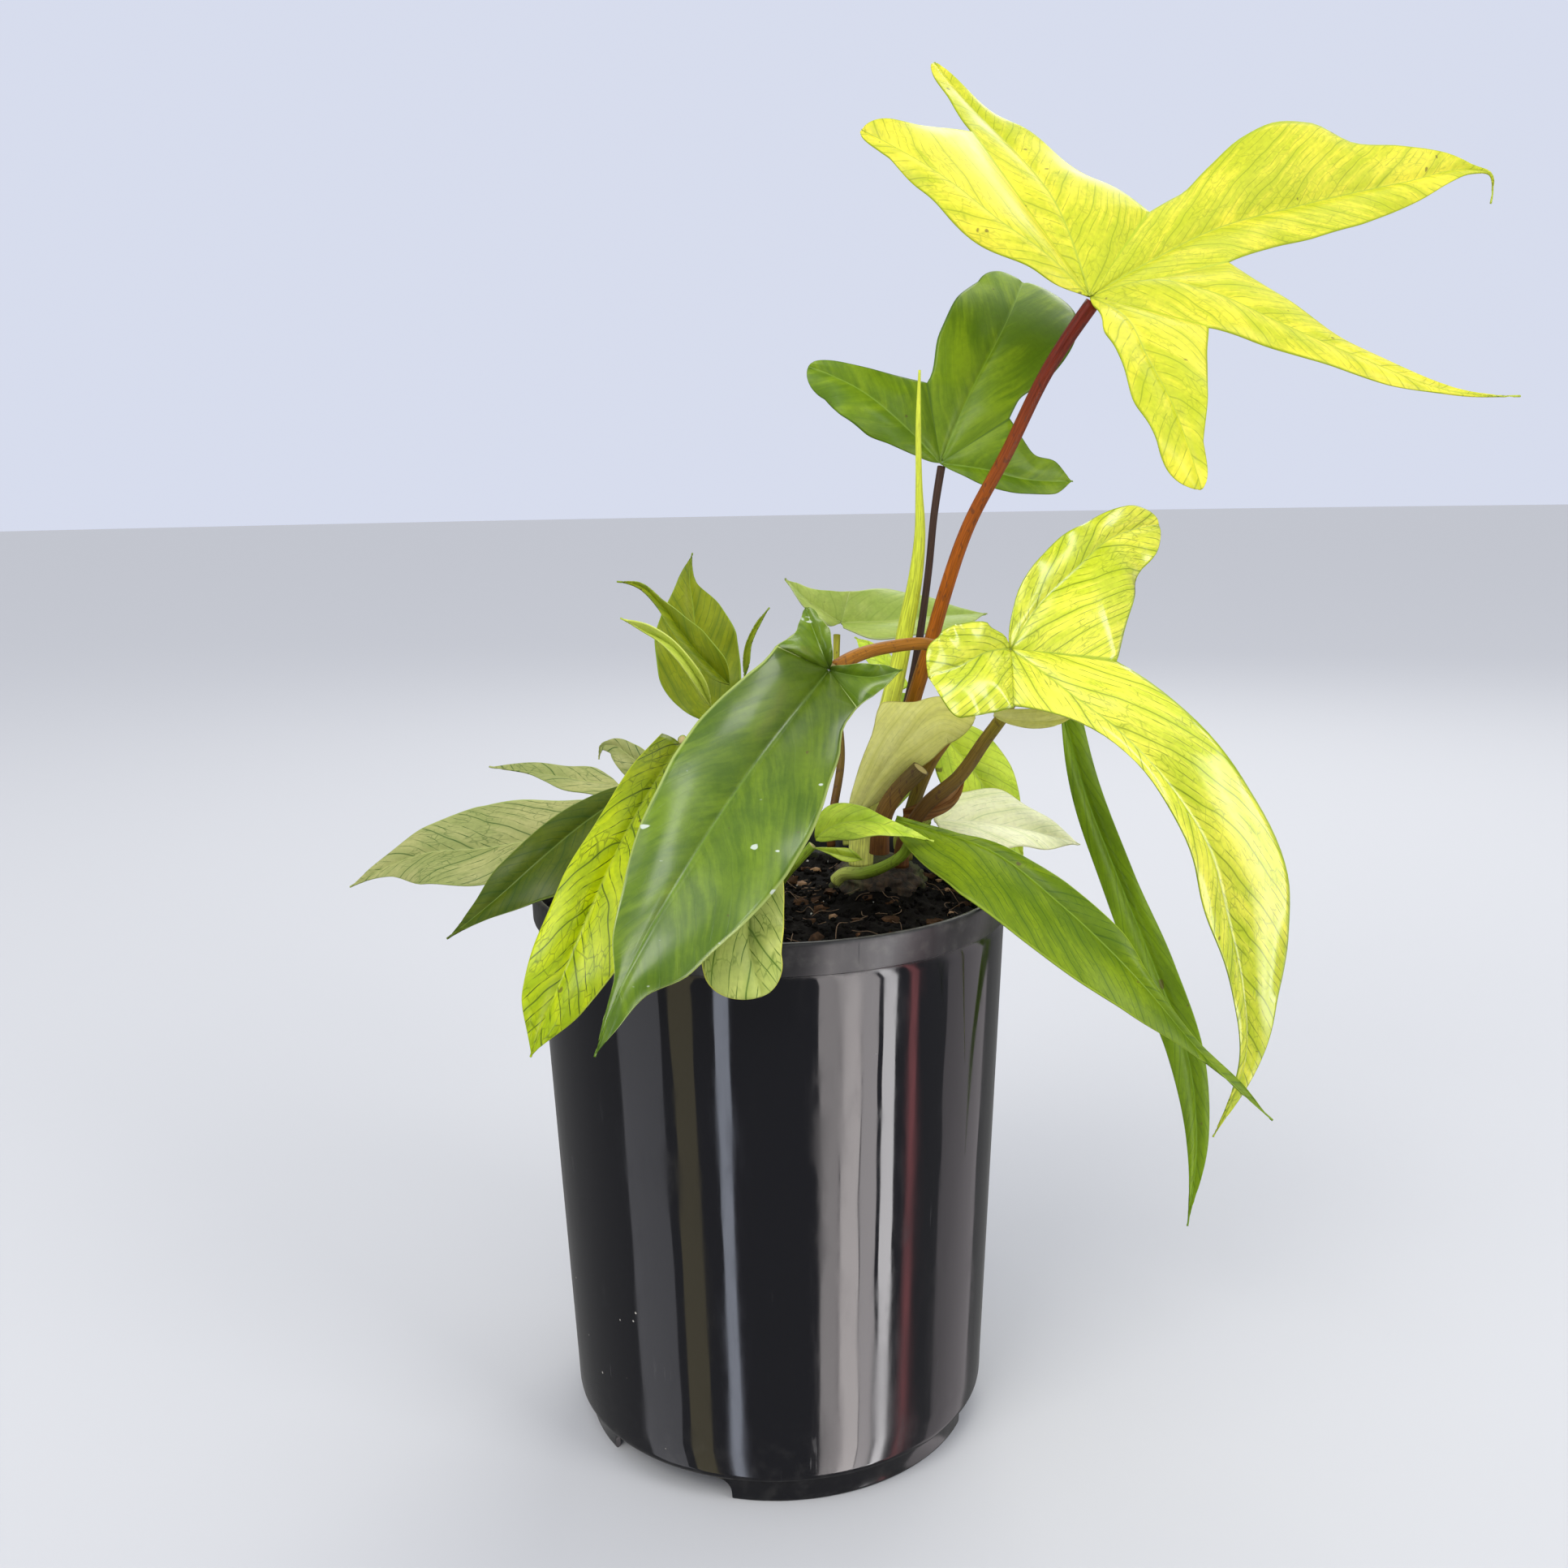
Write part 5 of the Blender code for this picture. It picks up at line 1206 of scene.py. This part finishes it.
class PLANT_OT_soil(bpy.types.Operator):
    """Fill the pot with potting mix and scatter crumbs, chips and fibres on it."""
    bl_idname = "plant.make_soil"
    bl_label = "Make soil"

    def execute(self, context):
        settings = context.scene.plant_soil
        pot = context.scene.plant_pot
        shoulder = pot.rim_radius / MM - COLLAR_OVERHANG - pot.wall / MM - SOIL_INNER_GAP
        foot = (pot.foot_radius - pot.wall) / MM - SOIL_INNER_GAP
        rings = [(radius, settings.level / MM) for radius in np.linspace(0, shoulder - 0.6, 70)]
        low = FLOOR_TOP + 0.4
        side = [(shoulder - 0.2, SOIL_SHOULDER), (foot + 0.3, low + 2.2), (foot - 2.6, low),
                (PAD_RADIUS + 3, low), (PAD_RADIUS - 2, 2.4), (0, 2.4)]
        soil = turned(rings + side, 220)
        for vertex in soil.data.vertices:
            if vertex.co.z > SOIL_CREST * MM:
                vertex.co.z = soil_height(vertex.co.x / MM, vertex.co.y / MM) * MM
        material = soil_material("potting_mix", tuple(settings.colour))
        finish_piece(soil, "soil_body", material, ["soil"])
        rng = np.random.default_rng(SOIL_SEED)
        self.scatter("soil_crumbs", rng, settings.crumbs, (0.5, 1.7), material)
        clods = soil_material("dark_bark", (0.05, 0.024, 0.01), 0.9)
        self.scatter("bark_chips", rng, 130, (1.4, 3.8), clods, flat=0.45)
        tan = plain_material("tan_bark", (0.3, 0.17, 0.08), 0.8)
        self.scatter("tan_chips", rng, 26, (0.8, 2.0), tan, flat=0.5)
        grit = plain_material("pale_grit", (0.6, 0.58, 0.52), 0.7)
        self.scatter("pale_grit", rng, 70, (0.25, 0.6), grit)
        self.fibres(rng, settings.fibres)
        return {"FINISHED"}

    def free_place(self, rng, size):
        """A place on the soil that is clear of the pot's wall."""
        while True:
            x, y = rng.uniform(-SCATTER_SQUARE, SCATTER_SQUARE, 2)
            if math.hypot(x, y) < SCATTER_REACH - size:
                return x, y

    def scatter(self, name, rng, count, sizes, material, flat=0.8):
        """Strew count pebbles, each shaped from one small ball, over the soil."""
        deselect()
        bpy.ops.mesh.primitive_ico_sphere_add(subdivisions=1, radius=1, calc_uvs=False)
        pebble = bpy.context.active_object
        shape = np.array([tuple(vertex.co) for vertex in pebble.data.vertices])
        faces = np.array([tuple(polygon.vertices) for polygon in pebble.data.polygons])
        points, polygons = [], []
        for number in range(count):
            size = rng.uniform(*sizes)
            x, y = self.free_place(rng, size)
            lumps = shape * rng.uniform(0.65, 1.25, (len(shape), 1)) * (1, rng.uniform(0.5, 0.95), flat)
            turn = Matrix.Rotation(rng.uniform(0, 6.28), 3, "Z")
            turn = turn @ Matrix.Rotation(rng.uniform(-0.6, 0.6), 3, "X")
            lumps = lumps @ np.array(turn).T * size
            place = np.array([x, y, soil_height(x, y) + 0.25 * size * flat])
            polygons.extend((faces + number * len(shape)).tolist())
            points.extend(((lumps + place) * MM).tolist())
        bpy.data.objects.remove(pebble, do_unlink=True)
        mesh = bpy.data.meshes.new(name)
        mesh.from_pydata(points, [], polygons)
        ob = bpy.data.objects.new(name, mesh)
        bpy.context.scene.collection.objects.link(ob)
        return finish_piece(ob, name, material, [], smooth=False)

    def fibres(self, rng, count):
        """Lay thin bent fibres on the soil."""
        strands = []
        for _ in range(count):
            length = rng.uniform(4, 15)
            x, y = self.free_place(rng, 1 + length / 2)
            heading = rng.uniform(0, 6.28)
            bend = rng.uniform(-0.3, 0.3)
            points = []
            for step in np.linspace(-0.5, 0.5, 4):
                px = x + math.cos(heading + bend * step * 4) * step * length
                py = y + math.sin(heading + bend * step * 4) * step * length
                lift = rng.uniform(0.2, 1.6)
                points.append((px, py, soil_height(px, py) + lift))
            strands.append(tube(points, (0.14, 0.1), 5, 12))
        select_only(*strands)
        bpy.ops.object.join()
        material = plain_material("soil_fibre", (0.16, 0.1, 0.055), 0.85)
        return finish_piece(strands[0], "soil_fibres", material, [])


class PLANT_OT_crowns(bpy.types.Operator):
    """Shape the two fibrous crowns that the stalks grow from."""
    bl_idname = "plant.make_crowns"
    bl_label = "Make crowns"

    def execute(self, context):
        s = Shader("crown_fibre")
        place = s.place(scale=(1.0, 1.0, 0.3))
        strands = s.noise(place, 500.0, 4.0)
        moss = s.ease(s.noise(s.place(), 90.0, 3.0), 0.4, 0.62)
        colour = s.mix(s.ease(strands, 0.35, 0.7), (0.012, 0.008, 0.005), (0.06, 0.034, 0.016))
        colour = s.mix(s.math("MULTIPLY", moss, 0.45), colour, (0.11, 0.14, 0.035))
        s.feed(s.surface.inputs["Base Color"], colour)
        s.surface.inputs["Roughness"].default_value = 0.85
        s.bump(strands, 0.9, 0.0012)
        for name, ((x, y), (rx, ry)) in CROWNS.items():
            deselect()
            bpy.ops.mesh.primitive_uv_sphere_add(segments=96, ring_count=48, radius=1)
            crown = context.active_object
            for vertex in crown.data.vertices:
                co = vertex.co.copy()
                lumps = noise.noise(co * 3.1 + Vector((x, y, 0))) * 0.16 + noise.noise(co * 8.0) * 0.08
                swell = 1 + lumps
                px = x + co.x * rx * swell
                py = y + co.y * ry * swell
                middle = (CROWN_TOP + CROWN_FOOT) / 2
                pz = middle + co.z * (CROWN_TOP - CROWN_FOOT) / 2 * (1 + 0.5 * lumps)
                vertex.co = (px * MM, py * MM, pz * MM)
            finish_piece(crown, name + "_fibre", s.material, [name])
        return {"FINISHED"}


class PLANT_OT_stalks(bpy.types.Operator):
    """Draw every leaf stalk and the cut stub."""
    bl_idname = "plant.make_stalks"
    bl_label = "Make stalks"

    def execute(self, context):
        settings = context.scene.plant_stalk
        materials = {}
        for name, spec in STEMS.items():
            finish = STALKS.get(name, "leaf_green")
            if finish not in materials:
                materials[finish] = stalk_material(finish + "_stalk", STALK_FINISHES[finish])
            base, tip = spec["base_radius"], spec["tip_radius"]
            radii = (base * 1.08, base * 1.02, base, (base + tip) / 2, tip, tip, tip * 1.12)
            if name == "cut_stub":
                radii = (base * 1.1, base, base * 0.96, base)
                stalk = tube(spec["points"], radii, settings.sides * 2, settings.rows, tip_slant=0.4)
            else:
                stalk = tube(spec["points"], radii, settings.sides, settings.rows, groove=0.16)
            finish_piece(stalk, name, materials[finish], [name])
            if name == "cut_stub":
                select_only(stalk)
                bpy.ops.object.shade_smooth_by_angle(angle=SHARP_EDGE)
        return {"FINISHED"}


class PLANT_OT_spike(bpy.types.Operator):
    """Roll the new leaf's tall spike."""
    bl_idname = "plant.make_spike"
    bl_label = "Make new leaf spike"

    def execute(self, context):
        material = stalk_material("spike_lime", STALK_FINISHES["spike_lime"])
        spike = tube(SPIKE["points"], SPIKE["radii"], 40, 160, groove=0.14)
        finish_piece(spike, "new_leaf_spike", material, ["new_leaf_spike"])
        return {"FINISHED"}


def make_blades(table, names):
    """Shape the named blades, making each finish's material the first time it is needed."""
    for name in names:
        look = table[name][0]
        material = bpy.data.materials.get(look) or leaf_material(look, FINISHES[look])
        make_blade(name, table[name], material)


class PLANT_OT_yellow_blades(bpy.types.Operator):
    """Shape the two large yellow blades."""
    bl_idname = "plant.make_yellow_blades"
    bl_label = "Make yellow leaves"

    def execute(self, context):
        make_blades(BLADES, ("top_leaf", "right_yellow_leaf"))
        return {"FINISHED"}


class PLANT_OT_green_blades(bpy.types.Operator):
    """Shape the green blades."""
    bl_idname = "plant.make_green_blades"
    bl_label = "Make green leaves"

    def execute(self, context):
        names = ("front_leaf", "green_lobed_leaf", "strap_leaf", "right_front_leaf", "back_left_leaf",
                 "diagonal_leaf", "thin_tip_leaf", "left_dark_leaf", "left_yellow_leaf", "right_back_leaf",
                 "back_small_leaf")
        make_blades(BLADES, names)
        return {"FINISHED"}


class PLANT_OT_pale_blades(bpy.types.Operator):
    """Shape the pale blades."""
    bl_idname = "plant.make_pale_blades"
    bl_label = "Make pale leaves"

    def execute(self, context):
        names = ("folded_lobe", "small_pale_leaf", "back_pale_leaf", "furled_leaf", "left_long_leaf",
                 "left_edge_leaf", "left_hooked_leaf", "rim_pale_leaf", "right_white_leaf")
        make_blades(BLADES, names)
        return {"FINISHED"}


class PLANT_OT_sheaths(bpy.types.Operator):
    """Shape the sheaths at the foot of the stalks."""
    bl_idname = "plant.make_sheaths"
    bl_label = "Make sheaths"

    def execute(self, context):
        make_blades(SHEATHS, ("spike_sheath", "torn_sheath"))
        make_blades(SHEATHS, ("low_sheath",))
        return {"FINISHED"}


class PLANT_OT_stage(bpy.types.Operator):
    """Lay the floor, light the room and place the camera."""
    bl_idname = "plant.make_stage"
    bl_label = "Make stage"

    def execute(self, context):
        settings = context.scene.plant_stage
        deselect()
        bpy.ops.mesh.primitive_circle_add(vertices=128, radius=20, fill_type="NGON")
        floor = context.active_object
        floor.name = "floor"
        s = Shader("floor_matt")
        s.surface.inputs["Base Color"].default_value = (*settings.floor_colour, 1.0)
        s.surface.inputs["Specular IOR Level"].default_value = 0.0
        s.surface.inputs["Roughness"].default_value = 0.6
        clear = s.node("ShaderNodeBsdfTransparent")
        path = s.node("ShaderNodeLightPath")
        both = s.node("ShaderNodeMixShader")
        s.feed(both.inputs[0], path.outputs["Is Glossy Ray"])
        s.tree.links.new(s.surface.outputs[0], both.inputs[1])
        s.tree.links.new(clear.outputs[0], both.inputs[2])
        s.tree.links.new(both.outputs[0], s.output.inputs["Surface"])
        floor.data.materials.append(s.material)
        self.room(context, tuple(settings.sky_colour))
        self.lamps()
        camera = bpy.data.objects.new("camera", bpy.data.cameras.new("camera"))
        context.scene.collection.objects.link(camera)
        camera.data.lens = settings.lens
        camera.data.sensor_width = 36
        camera.data.clip_start = 0.01
        tilt = Matrix.Rotation(math.pi / 2 - settings.camera_pitch, 4, "X")
        lean = Matrix.Rotation(settings.camera_roll, 4, "Z")
        camera.matrix_world = Matrix.Translation(settings.camera_place) @ tilt @ lean
        context.scene.camera = camera
        context.scene.view_settings.view_transform = "Standard"
        return {"FINISHED"}

    def room(self, context, colour):
        """A pale room that glossy pieces see dimmer, so that the black pot stays black."""
        world = bpy.data.worlds.new("pale_room")
        context.scene.world = world
        world.use_nodes = True
        tree = world.node_tree
        seen = tree.nodes["Background"]
        seen.inputs["Color"].default_value = (*colour, 1.0)
        seen.inputs["Strength"].default_value = 1.0
        kinds = ("Background", "TexCoord", "SeparateXYZ", "MapRange", "LightPath", "MixShader")
        dim, way, split, fade, path, both = (tree.nodes.new("ShaderNode" + kind) for kind in kinds)
        dim.inputs["Strength"].default_value = 1.0
        fade.interpolation_type = "SMOOTHSTEP"
        for socket, value in zip(fade.inputs[1:5], GLOSS_FADE):
            socket.default_value = value
        links = (
            (way.outputs["Generated"], split.inputs[0]),
            (split.outputs[2], fade.inputs[0]),
            (fade.outputs[0], dim.inputs["Color"]),
            (path.outputs["Is Glossy Ray"], both.inputs[0]),
            (seen.outputs[0], both.inputs[1]),
            (dim.outputs[0], both.inputs[2]),
            (both.outputs[0], tree.nodes["World Output"].inputs["Surface"]),
        )
        for start, end in links:
            tree.links.new(start, end)

    def lamps(self):
        """Soft boxes above, and tall strips that only show in gloss and reach below the floor."""
        boxes = (
            ("key_box", (-0.9, -1.3, 1.5), (1.0, 0.8), 13.0, (1.0, 0.99, 0.95)),
            ("right_box", (1.3, -1.0, 1.2), (0.7, 0.9), 13.0, (1.0, 1.0, 1.0)),
            ("back_box", (0.4, 1.3, 1.2), (1.0, 0.6), 7.0, (1.0, 1.0, 0.97)),
        )
        for name, place, size, watts, colour in boxes:
            self.lamp(name, Vector(place), LAMP_AIM, size, watts, colour)
        suns = (("sky_sun", (-0.35, -0.6, 1.0), 0.9), ("rear_sun", (0.5, 0.6, 1.0), 0.5))
        for name, place, strength in suns:
            sun = self.lamp(name, Vector(place), Vector((0, 0, 0)), (1, 1), 1, (1.0, 0.99, 0.95), "SUN")
            sun.data.energy = strength
            sun.data.angle = SUN_SPREAD
        strips = (
            ("warm_strip_1", 27, 0.3, 4.2, (1.0, 0.93, 0.93)),
            ("warm_strip_2", 38, 0.34, 7.5, (1.0, 0.93, 0.92)),
            ("warm_strip_3", 48, 0.26, 5.2, (1.0, 0.94, 0.95)),
            ("left_strip", -24, 0.2, 4.6, (0.78, 0.84, 1.0)),
            ("left_olive_strip", -44, 0.36, 0.75, (1.0, 0.85, 0.4)),
            ("far_left_strip", -68, 0.8, 0.9, (0.92, 0.92, 1.0)),
            ("bright_strip", 58, 0.22, 9.0, (1.0, 0.98, 1.0)),
            ("red_strip", 72, 0.14, 2.4, (1.0, 0.28, 0.3)),
            ("far_right_strip", 112, 1.2, 0.6, (1.0, 0.9, 0.95)),
        )
        for name, azimuth, width, radiance, colour in strips:
            turn = math.radians(azimuth)
            aim = Vector((0, 0, STRIP_MIDDLE))
            place = aim + STRIP_DISTANCE * Vector((math.sin(turn), -math.cos(turn), 0))
            watts = radiance * math.pi * width * STRIP_LENGTH
            strip = self.lamp(name, place, aim, (width, STRIP_LENGTH), watts, colour)
            strip.visible_diffuse = False
            strip.visible_transmission = False

    def lamp(self, name, place, aim, size, watts, colour, kind="AREA"):
        """A lamp that stands at place, points at aim and is not seen itself."""
        data = bpy.data.lights.new(name, kind)
        if kind == "AREA":
            data.shape = "RECTANGLE"
            data.size, data.size_y = size
        data.energy = watts
        data.color = colour
        lamp = bpy.data.objects.new(name, data)
        bpy.context.scene.collection.objects.link(lamp)
        lamp.location = place
        lamp.rotation_euler = (aim - place).to_track_quat("-Z", "Y").to_euler()
        lamp.visible_camera = False
        return lamp


class PLANT_PT_panel(bpy.types.Panel):
    """Lists the settings and the steps that build the plant."""
    bl_idname = "PLANT_PT_panel"
    bl_label = "Potted philodendron"
    bl_space_type = "VIEW_3D"
    bl_region_type = "UI"
    bl_category = "Plant"

    def draw(self, context):
        for name, group in GROUPS.items():
            box = self.layout.box()
            for key in group.__annotations__:
                box.prop(getattr(context.scene, name), key)
        for operator in OPERATORS:
            self.layout.operator(operator.bl_idname)


OPERATORS = (PLANT_OT_pot, PLANT_OT_soil, PLANT_OT_crowns, PLANT_OT_stalks, PLANT_OT_spike,
             PLANT_OT_sheaths, PLANT_OT_yellow_blades, PLANT_OT_green_blades, PLANT_OT_pale_blades,
             PLANT_OT_stage)


def register():
    for item in (*GROUPS.values(), *OPERATORS, PLANT_PT_panel):
        bpy.utils.register_class(item)
    for name, group in GROUPS.items():
        setattr(bpy.types.Scene, name, bpy.props.PointerProperty(type=group))


def unregister():
    for name in GROUPS:
        delattr(bpy.types.Scene, name)
    for item in (PLANT_PT_panel, *reversed(OPERATORS), *reversed(GROUPS.values())):
        bpy.utils.unregister_class(item)


def main():
    register()
    bpy.ops.plant.make_pot()
    bpy.ops.plant.make_soil()
    bpy.ops.plant.make_crowns()
    bpy.ops.plant.make_stalks()
    bpy.ops.plant.make_spike()
    bpy.ops.plant.make_sheaths()
    bpy.ops.plant.make_yellow_blades()
    bpy.ops.plant.make_green_blades()
    bpy.ops.plant.make_pale_blades()
    bpy.ops.plant.make_stage()
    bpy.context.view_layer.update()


if __name__ == "__main__":
    main()
